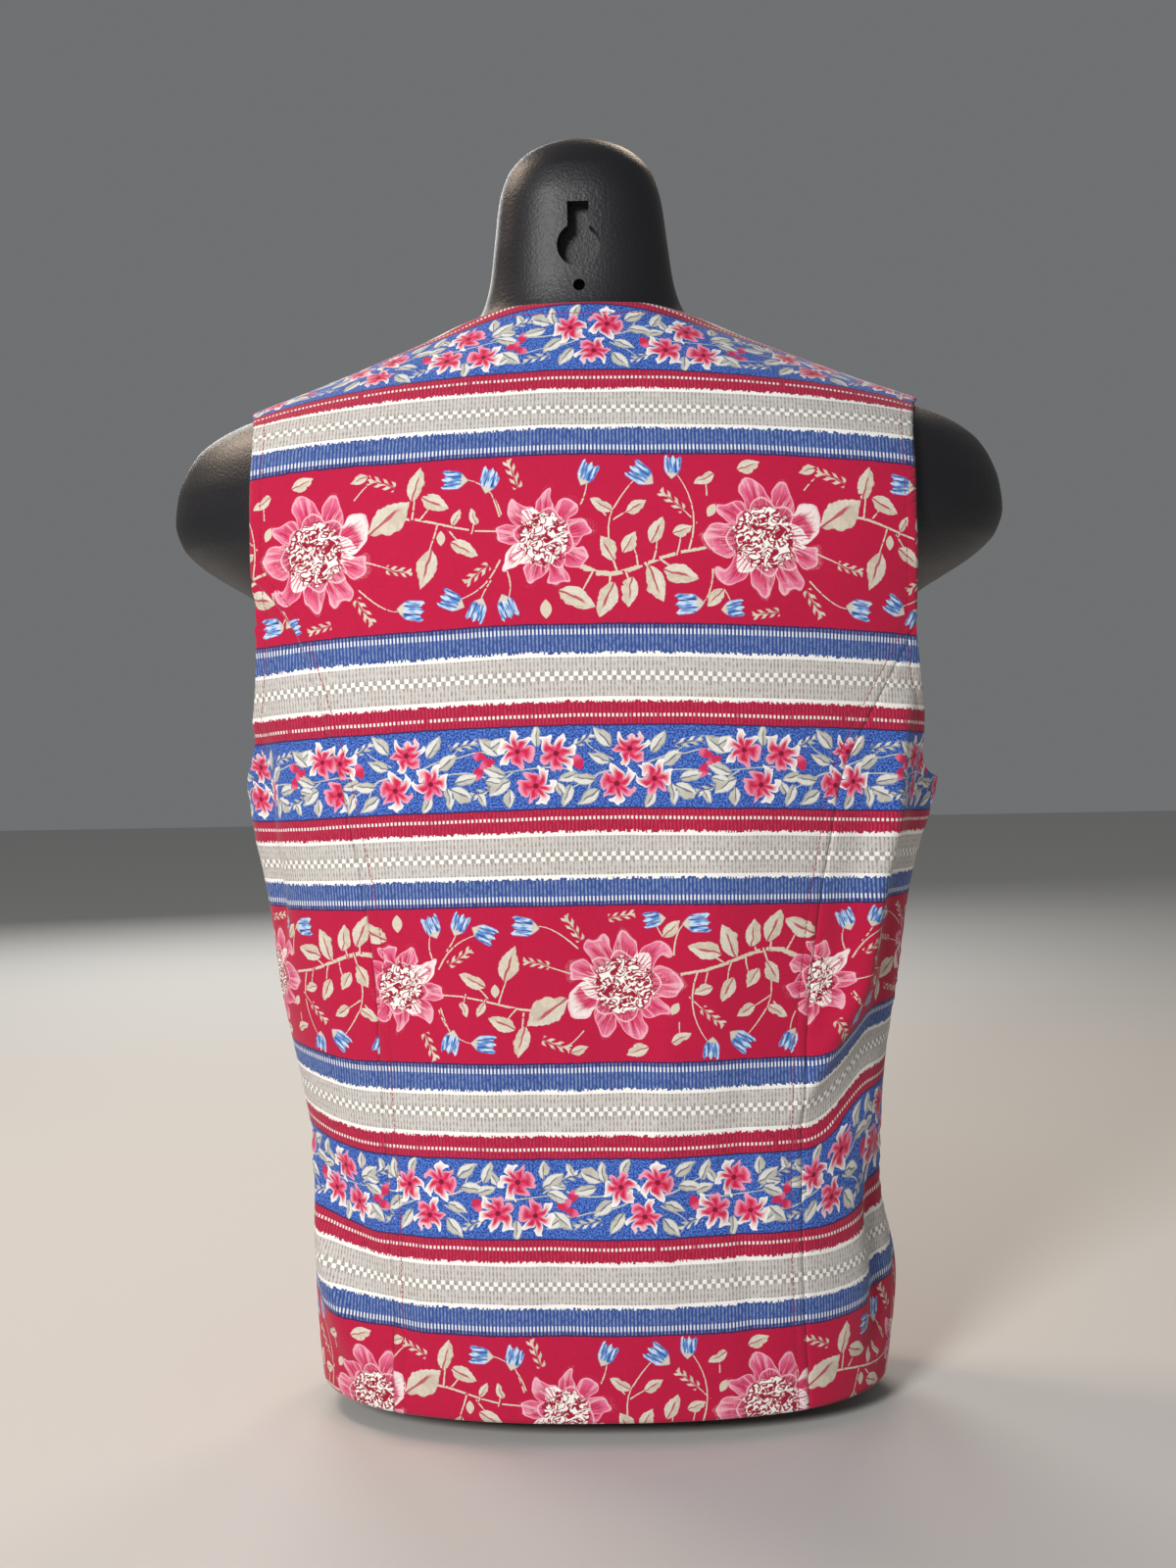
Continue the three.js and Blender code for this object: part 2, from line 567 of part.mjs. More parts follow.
const MATERIALS = {
  cloth: { color: 0xa81d36, roughness: 0.85, metalness: 0 },
  form: { color: 0x17161a, roughness: 0.45, metalness: 0 },
  button: { color: 0x7a1426, roughness: 0.35, metalness: 0 },
};

const vestOnForm = new THREE.Group();

function add(name, geometry, finish) {
  const mesh = new THREE.Mesh(geometry, new THREE.MeshStandardMaterial(MATERIALS[finish]));
  mesh.name = name;
  vestOnForm.add(mesh);
  return mesh;
}

add("torso_form", torsoForm(), "form");
add("back_centre", backCentre(), "cloth");
add("back_side_right", backSide("right"), "cloth");
add("back_side_left", backSide("left"), "cloth");
add("front_right", frontPanel("right"), "cloth");
add("front_left", frontPanel("left"), "cloth");

for (let i = 0; i < BUTTON_COUNT; i += 1) {
  const z = BUTTON_FIRST_Z - i * BUTTON_STEP;
  const lift = lapLift(1);
  const out = clothNormal(2, z, lift);
  const seat = clothPoint(2, z, LAP_RAISE).addScaledVector(out, CLOTH / 2 + BUTTON_GAP);
  const mesh = add(`button_${i + 1}`, button(), "button");
  mesh.position.copy(seat);
  mesh.quaternion.setFromUnitVectors(new THREE.Vector3(0, 0, 1), out);
}

export default vestOnForm;
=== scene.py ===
# %% [markdown]
# # A printed cotton vest on a black torso form
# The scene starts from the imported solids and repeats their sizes. Each cloth panel is built again as
# a fine thin shell on the same body shape. Its print is laid out in the cloth's own flat coordinates,
# so that stripes and flowers run along the fabric as they did when it was cut.
# %% Setup
import math
import random
import bmesh
import bpy
import numpy as np
from mathutils import Matrix
from mathutils import Vector


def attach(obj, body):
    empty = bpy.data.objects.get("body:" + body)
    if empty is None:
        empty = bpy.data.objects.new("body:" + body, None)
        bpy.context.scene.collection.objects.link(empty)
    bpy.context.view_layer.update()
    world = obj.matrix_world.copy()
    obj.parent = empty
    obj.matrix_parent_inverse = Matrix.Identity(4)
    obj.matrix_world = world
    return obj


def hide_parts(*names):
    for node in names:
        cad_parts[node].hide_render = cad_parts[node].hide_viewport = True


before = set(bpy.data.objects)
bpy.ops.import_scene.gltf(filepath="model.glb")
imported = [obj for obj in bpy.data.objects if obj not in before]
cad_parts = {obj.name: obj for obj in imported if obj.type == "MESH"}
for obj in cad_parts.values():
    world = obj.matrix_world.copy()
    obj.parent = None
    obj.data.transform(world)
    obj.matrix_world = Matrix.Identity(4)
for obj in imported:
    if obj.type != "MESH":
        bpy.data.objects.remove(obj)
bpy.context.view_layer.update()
scene = bpy.context.scene
random.seed(4)
print("nodes:", ", ".join(sorted(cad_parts)))

# %% [markdown]
# ## Sizes
# All lengths are millimetres until a mesh is made. The tables repeat the solids' sections: half width,
# back, side and front position and the roundness of the corners, by height. The form's table is its own.
# %% Sizes of the garment
MM = 0.001
WALL = 1.3  # thickness of the cloth
SEAM_GAP = 0.10  # between two panels that are sewn together
HEM_Z = 12
UNDERARM_Z = 355  # where the side seam meets the armhole
PRINCESS_TOP = {"right": 441, "left": 468}  # where the princess seams meet the armholes
SHOULDER_Z = 563  # outer end of the shoulder seam
NECK_Z = 611  # neck edge at the centre back
NECK_SIDE_DROP = 12  # the neck edge is lower at the shoulder seams
NECK_SIDE_X = 84  # half width of the neck there
V_POINT_Z = 432  # lowest point of the front neckline
LAP = 15  # each front passes the centre line by this much
LAP_RAISE = 1.55  # how far the upper front lies out, and the lower one in
LAP_EASE = 34  # distance over which a front reaches that height
SIDE_RISE = 5  # the hem is drawn up at the sides
STITCH_IN = 6.8  # topstitching from its edge
FRONT_START = 412  # print coordinate at the centre front
ALL_THE_WAY = 700  # above every edge
print("vest back length", NECK_Z - HEM_Z, "mm, thickness of the cloth", WALL, "mm")

# %% [markdown]
# ## Sections of the vest
# Each row is one height. The vest widens from the waist to the shoulder blades, and above them it
# closes quickly over the shoulders to the neck.
# %% Vest sections
SECTION_COLUMNS = ("z", "w", "back", "side", "front", "n")
VEST = [
    (5, 162.0, -80.0, 18, 121, 2.3),
    (40, 165.0, -80.5, 17, 121, 2.3),
    (70, 166.0, -81.0, 16, 121, 2.3),
    (128, 160.0, -82.0, 13, 118, 2.25),
    (161, 163.0, -83.5, 11, 117, 2.25),
    (195, 167.5, -86.0, 9, 116, 2.3),
    (241, 175.5, -91.0, 6, 117, 2.3),
    (284, 181.0, -98.0, 4, 119, 2.35),
    (310, 186.0, -103.0, 3, 120, 2.35),
    (335, 192.5, -108.0, 1, 122, 2.35),
    (355, 195.0, -112.0, 0, 123, 2.35),
    (400, 207.0, -121.0, -2, 124, 2.35),
    (440, 216.0, -129.0, -4, 121, 2.35),
    (475, 229.0, -133.0, -6, 112, 2.35),
    (503, 236.0, -132.5, -6, 102, 2.35),
    (520, 233.0, -129.5, -6, 93, 2.35),
    (535, 226.0, -124.5, -7, 82, 2.3),
    (547, 212.0, -118.5, -9, 71, 2.25),
    (556, 198.0, -113.0, -11, 63, 2.2),
    (563, 183.0, -109.0, -12, 58, 2.2),
    (570, 163.5, -105.0, -13, 53, 2.15),
    (581.5, 132.5, -98.0, -15, 47, 2.1),
    (590, 110.0, -92.5, -17, 42, 2.1),
    (599, 87.0, -87.0, -19, 37, 2.1),
    (605, 74.5, -83.5, -21, 34, 2.15),
    (611, 65.0, -80.5, -22, 31, 2.2),
    (622, 59.0, -77.5, -24, 27, 2.3),
]
print("vest:", len(VEST), "sections, chest half width", VEST[10][1], "mm")

# %% [markdown]
# ## Sections of the form
# The form's sections lie inside the vest's. Its rounded shoulder ends reach out through the armholes,
# and its neck stands above the vest.
# %% Form sections
FORM = [
    (0, 127.0, -36.0, 22, 86, 2.2),
    (14, 138.0, -52.0, 19, 99, 2.2),
    (45, 145.0, -61.0, 15, 106, 2.2),
    (100, 145.0, -65.0, 12, 104, 2.2),
    (180, 136.0, -69.0, 8, 94, 2.2),
    (260, 141.0, -83.0, 4, 98, 2.25),
    (330, 151.0, -98.0, 1, 109, 2.3),
    (371, 157.0, -108.0, -1, 114, 2.3),
    (420, 163.0, -119.0, -3, 114, 2.3),
    (440, 168.0, -122.0, -4, 111, 2.3),
    (450, 174.0, -124.0, -5, 109, 2.3),
    (459, 185.0, -125.5, -6, 106, 2.3),
    (467, 198.0, -126.5, -6, 104, 2.3),
    (475, 211.0, -127.5, -6, 102, 2.3),
    (482, 220.0, -128.0, -6, 100, 2.3),
    (490, 227.0, -128.0, -6, 98, 2.3),
    (503, 231.0, -127.5, -6, 94, 2.3),
    (517, 229.5, -125.0, -6, 87, 2.3),
    (530, 225.0, -121.0, -7, 78, 2.25),
    (541, 218.0, -115.5, -8, 69, 2.2),
    (548.5, 209.0, -111.0, -9, 62, 2.15),
    (554.5, 198.0, -107.0, -10, 57, 2.1),
    (559.8, 183.0, -104.0, -12, 53.5, 2.08),
    (566.8, 163.0, -100.5, -13, 48.5, 2.05),
    (578.3, 131.5, -93.0, -15, 42, 2.05),
    (587, 108.5, -87.5, -17, 36.5, 2.05),
    (596, 85.5, -82.0, -19, 31.5, 2.05),
    (602, 72.0, -78.8, -21, 29, 2.1),
    (608, 61.5, -76.0, -22, 27, 2.2),
    (616, 55.0, -73.5, -24, 24, 2.3),
    (630, 50.5, -71.5, -25, 20, 2.5),
    (651, 47.5, -71.0, -26, 17, 2.6),
    (672, 44.8, -70.5, -26, 14, 2.6),
    (687, 40.5, -67.5, -26, 9, 2.5),
    (697, 33.0, -60.5, -26, 2, 2.4),
    (703, 24.5, -52.0, -26, -6, 2.2),
    (706.5, 14.5, -41.0, -26, -16, 2.1),
]
FORM_TOP_Z = 708
NECK_BACK_Y = -71  # back of the form's neck at the hanging slot
SLOT = {"z": 643.5, "round": 11.6, "half": 5.7, "top": 666.5, "depth": 13, "dimple_z": 622, "dimple": 3.2}
print("form:", len(FORM), "sections,", FORM_TOP_Z, "mm high")

# %% [markdown]
# ## Seams and armholes
# The princess seams and the armholes are given by their distance from the middle at each height.
# %% Seam and armhole tables
PRINCESS_COLUMNS = ("z", "right", "left")
PRINCESS = [
    (5, 114, 114),
    (113, 111, 114),
    (182, 112, 116),
    (243, 117, 117),
    (288, 122, 120),
    (319, 127, 124),
    (358, 134, 130),
    (385, 146, 136),
    (409, 159, 142),
    (430, 170, 148),
    (441, 174, 152.5),
    (455, 174, 161.5),
    (468, 174, 174),
]
EDGE_COLUMNS = ("z", "x")
ARMHOLE_BACK = [
    (355, 194.5),
    (358, 192.8),
    (365, 190),
    (382, 184.5),
    (411, 177.5),
    (441, 174),
    (468, 174),
    (503, 173),
    (533, 173),
    (549, 175),
    (558, 178.5),
    (563, 183),
]
ARMHOLE_FRONT = [
    (355, 194.5),
    (358, 188),
    (365, 180),
    (380, 170),
    (405, 162),
    (435, 158),
    (475, 158),
    (512, 165),
    (541, 174),
    (563, 183),
]
print("armholes from", ARMHOLE_BACK[0][0], "to", ARMHOLE_BACK[-1][0], "mm high")

# %% [markdown]
# ## Folds
# A fold is a soft trough or ridge that runs through heights and turns. A turn is a place round the
# body: 0 is the centre back, 1 the wearer's right side seam, -1 the left one, 2 the centre front.
# The first folds are the solids' own, with the drag fold under the right armhole pressed deeper. The
# fine ones are added here, uneven, on every side. Each row is heights, turns, depth and half width.
# %% Folds of the cloth
FOLD_COLUMNS = ("heights", "turns", "depth", "half width")
MAIN_FOLDS = [
    ((425, 340, 240, 165), (0.81, 0.84, 0.83, 0.68), -11, 24),
    ((405, 340, 240, 170), (0.64, 0.67, 0.66, 0.50), 7, 11),
    ((345, 280, 220, 140), (0.95, 0.96, 0.96, 0.95), -5, 34),
    ((330, 270, 210, 130), (-1, -1, -1, -1), 5, 34),
    ((150, 110, 75, 30), (0.9, 0.86, 0.84, 0.8), -9, 15),
    ((105, 78, 55, 20), (1.14, 1.14, 1.12, 1.1), 8, 20),
    ((150, 110, 75, 35), (-0.94, -0.86, -0.76, -0.66), 6, 15),
    ((150, 110, 75, 40), (-0.76, -0.68, -0.58, -0.5), -3, 14),
    ((390, 350, 305, 260), (-0.72, -0.79, -0.84, -0.87), -8, 13),
    ((466, 452, 440, 420), (-0.66, -0.62, -0.58, -0.55), -2.5, 7),
    ((400, 320, 240, 150), (0.3, 0.29, 0.27, 0.25), 2.2, 20),
    ((380, 300, 220, 130), (0.05, 0.07, 0.06, 0.02), -2.2, 26),
    ((330, 250, 170, 90), (-0.27, -0.28, -0.31, -0.34), 2, 22),
    ((340, 260, 170, 60), (1.36, 1.34, 1.3, 1.27), 6, 22),
    ((330, 250, 160, 70), (1.6, 1.58, 1.56, 1.55), -4, 20),
    ((350, 270, 180, 50), (-1.33, -1.36, -1.4, -1.42), 6, 22),
    ((300, 230, 150, 80), (-1.62, -1.6, -1.62, -1.66), -4, 20),
]
FINE_FOLDS = [
    ((405, 330, 250, 180), (0.665, 0.69, 0.68, 0.525), 3.4, 6),
    ((250, 215, 190, 170), (0.66, 0.6, 0.53, 0.46), -1.6, 6),
    ((140, 110, 80, 45), (-0.905, -0.83, -0.735, -0.65), 1.8, 5),
    ((465, 456, 448, 438), (-0.8, -0.72, -0.66, -0.6), -1.8, 4),
    ((460, 450, 440, 432), (-0.78, -0.7, -0.64, -0.58), 1.1, 4),
    ((260, 190, 130, 60), (0.19, 0.17, 0.16, 0.17), 1.5, 9),
    ((240, 180, 120, 50), (-0.12, -0.13, -0.12, -0.1), -1.5, 10),
    ((200, 150, 90, 30), (-0.46, -0.45, -0.44, -0.45), 1.7, 9),
    ((210, 150, 90, 25), (0.37, 0.37, 0.38, 0.4), -1.7, 8),
    ((560, 520, 480, 430), (0.36, 0.4, 0.42, 0.4), -0.9, 16),
    ((560, 520, 480, 430), (-0.34, -0.38, -0.4, -0.36), -0.9, 16),
    ((340, 300, 260, 210), (1.08, 1.14, 1.16, 1.13), -2.4, 10),
    ((330, 290, 250, 200), (-1.1, -1.15, -1.16, -1.12), -2.4, 10),
    ((470, 430, 400, 370), (1.5, 1.44, 1.38, 1.3), -1.6, 9),
    ((470, 430, 400, 370), (-1.5, -1.43, -1.36, -1.28), -1.8, 9),
    ((240, 180, 110, 40), (1.75, 1.73, 1.74, 1.72), 1.4, 11),
    ((250, 190, 120, 30), (-1.78, -1.75, -1.73, -1.75), 1.4, 11),
]
print("each fold has", ", ".join(FOLD_COLUMNS))
print(len(MAIN_FOLDS), "main folds,", len(FINE_FOLDS), "fine ones")

# %% [markdown]
# ## The body shape
# Each height has one closed section, made of a back and a front quarter that are mirrored. The quarters
# are walked in even steps of length once, for every millimetre of height, and kept as two tables, so
# that any place on the cloth is found by reading between their rows.
# %% Section tables
def column(table, names, name):
    return np.array([row[names.index(name)] for row in table], dtype=float)


def curve_of(table, names, name):
    """A smooth curve through one column of a table, by height, with no overshoot."""
    z = column(table, names, "z")
    v = column(table, names, name)
    step = np.diff(v) / np.diff(z)
    slope = np.zeros(len(z))
    slope[0] = step[0]
    slope[-1] = step[-1]
    for i in range(1, len(z) - 1):
        if step[i - 1] * step[i] > 0:
            slope[i] = 2 * step[i - 1] * step[i] / (step[i - 1] + step[i])

    def read(at):
        at = np.clip(np.asarray(at, dtype=float), z[0], z[-1])
        i = np.clip(np.searchsorted(z, at, side="left") - 1, 0, len(z) - 2)
        wide = z[i + 1] - z[i]
        t = (at - z[i]) / wide
        flat = v[i] * (1 + 2 * t) * (1 - t) ** 2 + v[i + 1] * t * t * (3 - 2 * t)
        return flat + wide * t * (1 - t) * (slope[i] * (1 - t) - slope[i + 1] * t)

    return read


def read_grid(grid, row, col):
    """Values between the rows and columns of a table."""
    row = np.clip(row, 0, grid.shape[0] - 1.001)
    col = np.clip(col, 0, grid.shape[1] - 1.001)
    i = row.astype(int)
    j = col.astype(int)
    a = row - i
    b = col - j
    low = grid[i, j] * (1 - b) + grid[i, j + 1] * b
    high = grid[i + 1, j] * (1 - b) + grid[i + 1, j + 1] * b
    return low * (1 - a) + high * a


def smooth(low, high, at):
    t = np.clip((at - low) / (high - low), 0, 1)
    return t * t * (3 - 2 * t)


print("tables are read by smooth curves and between their rows")

# %% [markdown]
# ## Sections that can be walked
# A turn counts quarters. Its fraction is the share of the quarter's length, at every height.
# %% Walked sections
STEPS = 240  # even steps of length in a quarter


class Stack:
    """Sections read by turn and height."""

    def __init__(self, table, top):
        names = SECTION_COLUMNS
        self.z = np.arange(table[0][0], top + 0.5, 1.0)
        w, back, side, front, n = (curve_of(table, names, c)(self.z) for c in names[1:])
        angle = np.linspace(0, np.pi / 2, STEPS + 1)
        power = (2 / n)[:, None]
        self.share = np.linspace(0, 1, STEPS + 1)
        self.x = {}
        self.y = {}
        self.length = {}
        for part, reach in (("back", back - side), ("front", front - side)):
            x = w[:, None] * np.sin(angle) ** power
            y = side[:, None] + reach[:, None] * np.clip(np.cos(angle), 0, 1) ** power
            walked = np.cumsum(np.hypot(np.diff(x, axis=1), np.diff(y, axis=1)), axis=1)
            walked = np.hstack([np.zeros((len(self.z), 1)), walked])
            self.length[part] = walked[:, -1]
            even = [walked[i, -1] * self.share for i in range(len(self.z))]
            self.x[part] = np.array([np.interp(even[i], walked[i], x[i]) for i in range(len(self.z))])
            self.y[part] = np.array([np.interp(even[i], walked[i], y[i]) for i in range(len(self.z))])

    def read(self, grid, share, z):
        return read_grid(grid, z - self.z[0], share * STEPS)

    def at(self, turn, z):
        turn, z = np.broadcast_arrays(np.asarray(turn, float), np.asarray(z, float))
        t = np.where(turn > 2, turn - 4, turn)
        t = np.where(t < -2, t + 4, t)
        on_back = np.abs(t) <= 1
        share = np.where(on_back, np.abs(t), 2 - np.abs(t))
        x = np.where(on_back, self.read(self.x["back"], share, z), self.read(self.x["front"], share, z))
        y = np.where(on_back, self.read(self.y["back"], share, z), self.read(self.y["front"], share, z))
        return np.sign(t) * x, y

    def quarter(self, z, part):
        return np.interp(z, self.z, self.length[part])

    def turn_at(self, x, z, part):
        """The turn on the right at which a quarter reaches a half distance x."""
        x, z = np.broadcast_arrays(np.asarray(x, float), np.asarray(z, float))
        found = np.empty(x.shape)
        for i, (one, height) in enumerate(zip(x.ravel(), z.ravel())):
            row = self.read(self.x[part], self.share * 0.99999, np.full(STEPS + 1, height))
            found.flat[i] = np.interp(abs(one), row, self.share)
        if part == "back":
            return found
        return np.where(x < 0, 2 + found, 2 - found)


vest = Stack(VEST, VEST[-1][0])
form = Stack(FORM, FORM[-1][0])
princess_x = {hand: curve_of(PRINCESS, PRINCESS_COLUMNS, hand) for hand in ("right", "left")}
armhole_back_x = curve_of(ARMHOLE_BACK, EDGE_COLUMNS, "x")
armhole_front_x = curve_of(ARMHOLE_FRONT, EDGE_COLUMNS, "x")
chest = 2 * (vest.quarter(360, "back") + vest.quarter(360, "front"))
waist = 2 * (vest.quarter(128, "back") + vest.quarter(128, "front"))
print("round the chest", round(float(chest)), "mm; round the waist", round(float(waist)), "mm")

# %% [markdown]
# ## The cloth's surface
# A place on the cloth is the body shape, drawn up a little at the sides of the hem, pushed out or in by
# the folds and by a faint unevenness, and pulled in along its sewn edges. The print's coordinates
# follow the cloth: x is the length walked from the centre back, v the length walked up from the hem.
# %% Surface functions
def fold_at(fold, turn, z):
    heights, turns, depth, half = fold
    top = heights[0]
    low = heights[-1]
    middle = np.interp(-z, [-h for h in heights], turns)
    length = np.where(np.abs(turn) > 1, vest.quarter(z, "front"), vest.quarter(z, "back"))
    away = (turn - middle) * length
    along = np.sin(np.pi * np.clip((top - z) / (top - low), 0, 1))
    return depth * np.sqrt(np.clip(along, 0, 1)) * np.exp(-((away / half) ** 2))


def rise_at(turn, z):
    side = smooth(0.5, 1.05, np.abs(turn))
    low = 1 - smooth(110, 280, z)
    neck = smooth(0.3, 1, np.abs(turn)) * smooth(SHOULDER_Z, NECK_Z, z)
    return SIDE_RISE * side * low - NECK_SIDE_DROP * neck


WAVE_RANGES = ((5, 16), (0.008, 0.03), (0, 6.28), (0, 6.28))
WAVES = [[random.uniform(low, high) for low, high in WAVE_RANGES] for _ in range(14)]
RIPPLE = 0.19  # height of one wave


def unevenness(turn, z):
    """A faint slow ripple, a few tenths of a millimetre high."""
    total = 0
    for across, along, first, second in WAVES:
        sway = 0.6 * np.sin(0.02 * z + second)
        total = total + np.sin(across * turn + first + sway) * np.sin(along * z + second)
    return RIPPLE * total * (1 - 0.7 * smooth(500, 570, z))


def cloth_point(turn, height, lift=0.0):
    z = height + rise_at(turn, height)
    x, y = vest.at(turn, z)
    ahead_x, ahead_y = vest.at(turn + 0.004, z)
    behind_x, behind_y = vest.at(turn - 0.004, z)
    dx = ahead_x - behind_x
    dy = ahead_y - behind_y
    length = np.hypot(dx, dy)
    out = lift + unevenness(turn, height)
    for fold in MAIN_FOLDS + FINE_FOLDS:
        out = out + fold_at(fold, turn, height)
    return np.stack([x + out * dy / length, y - out * dx / length, z], axis=-1)


def cloth_normal(turn, height, lift_at):
    across = cloth_point(turn + 0.006, height, lift_at(turn + 0.006))
    across = across - cloth_point(turn - 0.006, height, lift_at(turn - 0.006))
    up = cloth_point(turn, height + 1, lift_at(turn)) - cloth_point(turn, height - 1, lift_at(turn))
    normal = np.cross(across, up)
    return normal / np.linalg.norm(normal, axis=-1, keepdims=True)


print(len(WAVES), "slow waves of", RIPPLE, "mm")

# %% [markdown]
# ## Print coordinates
# The print runs along the cloth, so its coordinates are lengths walked on it. The stripes sink a little
# towards the armholes and rise at the side seams, as they do in the photograph.
# %% Print coordinates
BACK_Z = np.arange(VEST[0][0], VEST[-1][0] + 0.5, 0.5)
BACK_Y = curve_of(VEST, SECTION_COLUMNS, "back")(BACK_Z)
BACK_WALK = np.concatenate([[0], np.cumsum(np.hypot(np.diff(BACK_Z), np.diff(BACK_Y)))])
BACK_WALK = BACK_WALK - np.interp(HEM_Z, BACK_Z, BACK_WALK)
CUT_Z = 430  # above this the print is measured along lines of even x
CUT_ROWS = np.arange(CUT_Z, 623, 1.0)
CUT_STEP = 4
CUT_X = np.arange(0, 241, float(CUT_STEP))
PRINT_EASE = 1.02  # the shoulders slant, so the cloth there is this much longer than it is wide
SIDE_LIFT = 14  # the stripes rise by this much at the side seams
DRAG_LIFT = 22  # and by this much more beyond the drag fold
BLADE_HALF = 150  # the stripes have sunk by the full bow this far from the centre


def shoulder_walks():
    """Length walked up from CUT_Z along lines of even x, over the shoulder blades or the chest."""
    curves = [curve_of(VEST, SECTION_COLUMNS, name) for name in SECTION_COLUMNS[1:]]
    w, back, side, front, n = (curve(CUT_ROWS)[:, None] for curve in curves)
    walks = {}
    for part, reach in (("back", back), ("front", front)):
        y = side + (reach - side) * np.clip(1 - (CUT_X[None, :] / w) ** n, 0, 1) ** (1 / n)
        step = np.hypot(np.diff(CUT_ROWS)[:, None], np.diff(y, axis=0))
        walks[part] = np.vstack([np.zeros((1, len(CUT_X))), np.cumsum(step, axis=0)])
    return walks


WALKS = shoulder_walks()


def read_walk(part, x, z):
    return read_grid(WALKS[part], z - CUT_Z, x / CUT_STEP)


def cloth_flat(turn, z, x_shift=0.0):
    """Flat coordinates in the cloth: along the stripes and up across them."""
    far = np.abs(turn)
    on_back = far <= 1
    level, _ = vest.at(turn, z)
    level = np.abs(level) * PRINT_EASE
    high = smooth(SHOULDER_Z - 93, SHOULDER_Z - 18, z)
    on_blades = far * vest.quarter(z, "back") * (1 - high) + level * high
    on_chest = (2 - far) * vest.quarter(z, "front") * (1 - high) + level * high
    x = np.where(on_back, on_blades, FRONT_START - on_chest)
    v = np.interp(np.minimum(z, CUT_Z), BACK_Z, BACK_WALK)
    v = v + np.where(on_back, read_walk("back", level, z), read_walk("front", level, z))
    reach = np.clip(level / BLADE_HALF, 0, 1.35) ** 2
    bow = reach * np.interp(z, (57, 240, 335, 443, 540), (0, 2, 5, 6, 3))
    side = smooth(0.58, 1.05, far) * (1 - smooth(150, 300, z))
    drag = smooth(0.54, 0.80, turn) * (1 - smooth(0.95, 1.25, turn))
    drag = drag * smooth(105, 175, z) * (1 - smooth(205, 300, z))
    return np.sign(turn) * x + x_shift, v + bow - SIDE_LIFT * side - DRAG_LIFT * drag


print("length up the centre back", round(float(np.interp(NECK_Z, BACK_Z, BACK_WALK))), "mm")

# %% [markdown]
# ## Panel edges
# Each edge is a turn for a height. The princess seams run from the hem to the armholes, the side seams
# stand at a quarter of the way round, and the shoulder seams lie on the ridge of the shoulders.
# %% Edges of the panels
def half_gap(z, part="back"):
    """Half a seam's gap, as a turn."""
    return SEAM_GAP / 2 / vest.quarter(z, part)


def back_centre_edge(z, hand):
    x = np.where(z < PRINCESS_TOP[hand], princess_x[hand](z), armhole_back_x(z))
    inner = vest.turn_at(x, z, "back")
    return np.where(z < SHOULDER_Z, inner, 1.0) - half_gap(z)


def back_side_inner(z, hand):
    return vest.turn_at(princess_x[hand](z), z, "back") + half_gap(z)


def back_side_outer(z):
    seam = 1 - half_gap(z)
    cut = vest.turn_at(armhole_back_x(z), z, "back")
    return np.where(z <= UNDERARM_Z, seam, np.minimum(seam, cut))


def front_outer(z):
    seam = 1 + half_gap(z, "front")
    cut = vest.turn_at(armhole_front_x(z), z, "front")
    return np.where((z <= UNDERARM_Z) | (z >= SHOULDER_Z), seam, np.maximum(seam, cut))


ARMHOLE_BEND_Z = SHOULDER_Z - 75  # above this the grid spreads out again to the shoulder


def armhole_guide(z, edge, seam):
    """Where the grid would end if nothing were cut off for the armhole."""
    out = 1 - smooth(UNDERARM_Z, UNDERARM_Z + 70, z) + smooth(ARMHOLE_BEND_Z, SHOULDER_Z, z)
    return edge + (seam - edge) * out


def front_inner(z):
    share = (z - V_POINT_Z) / (NECK_Z - V_POINT_Z)
    drop = NECK_SIDE_DROP * smooth(SHOULDER_Z, NECK_Z, z)
    slant = vest.turn_at(-LAP + (NECK_SIDE_X + LAP) * np.clip(share, 0, 1), z - drop, "front")
    return np.where(z <= V_POINT_Z, 2 + LAP / vest.quarter(z, "front"), slant)


TURN_NEAR_LAP = 190  # roughly the millimetres in one turn near the centre front


def lap_lift(direction):
    """Lifts a front outward, or presses it in, where the two fronts lap."""

    def lift(turn):
        past = (np.abs(turn) - 2) * TURN_NEAR_LAP
        return direction * LAP_RAISE * smooth(-LAP - LAP_EASE, -LAP - 4, past)

    return lift


def no_lift(turn):
    return 0.0 * turn


def levels(top):
    """Heights of the rows, closer together under the arm and over the shoulder."""
    parts = [
        np.arange(HEM_Z, UNDERARM_Z, 2.55),
        np.arange(UNDERARM_Z, UNDERARM_Z + 14, 0.9),
        np.arange(UNDERARM_Z + 14, SHOULDER_Z - 22, 2.5),
        np.arange(SHOULDER_Z - 22, SHOULDER_Z, 1.4),
        np.linspace(SHOULDER_Z, NECK_Z, 24),
    ]
    every = np.concatenate(parts)
    return np.append(every[every < top - 0.6], top)


print("rows from hem to neck:", len(levels(NECK_Z)))

# %% [markdown]
# ## The print's layout
# The fabric repeats every two red bands. A red band carries large many-petalled flowers, smaller ones
# between them, leaves on vines and little blue bells; a blue band carries sprays of pink star flowers.
# The layouts are short tables in millimetres from the middle of a band. A motif has a place, a size
# and an angle, and the second red band is the first one turned half round.
# %% Repeat of the print
HALF_REPEAT = 117.7
RED_MIDDLE = 475.3
RED_REPEAT_X = 233.0
BLUE_REPEAT_X = 117.0
print("the fabric repeats every", 2 * HALF_REPEAT, "mm")

# %% [markdown]
# ## Motifs of the red band
# One repeat has a big flower and a smaller one, with leaves, sprigs and bells on branching vines.
# A vine is two ends with two points that bend it, and its thickness.
# %% Red band
MOTIF_COLUMNS = ("x", "y", "size", "degrees", "kind")
BIG, MEDIUM, STAR = 0, 1, 2
LEAF, BELL, BUD, SPRIG = 0, 1, 2, 3

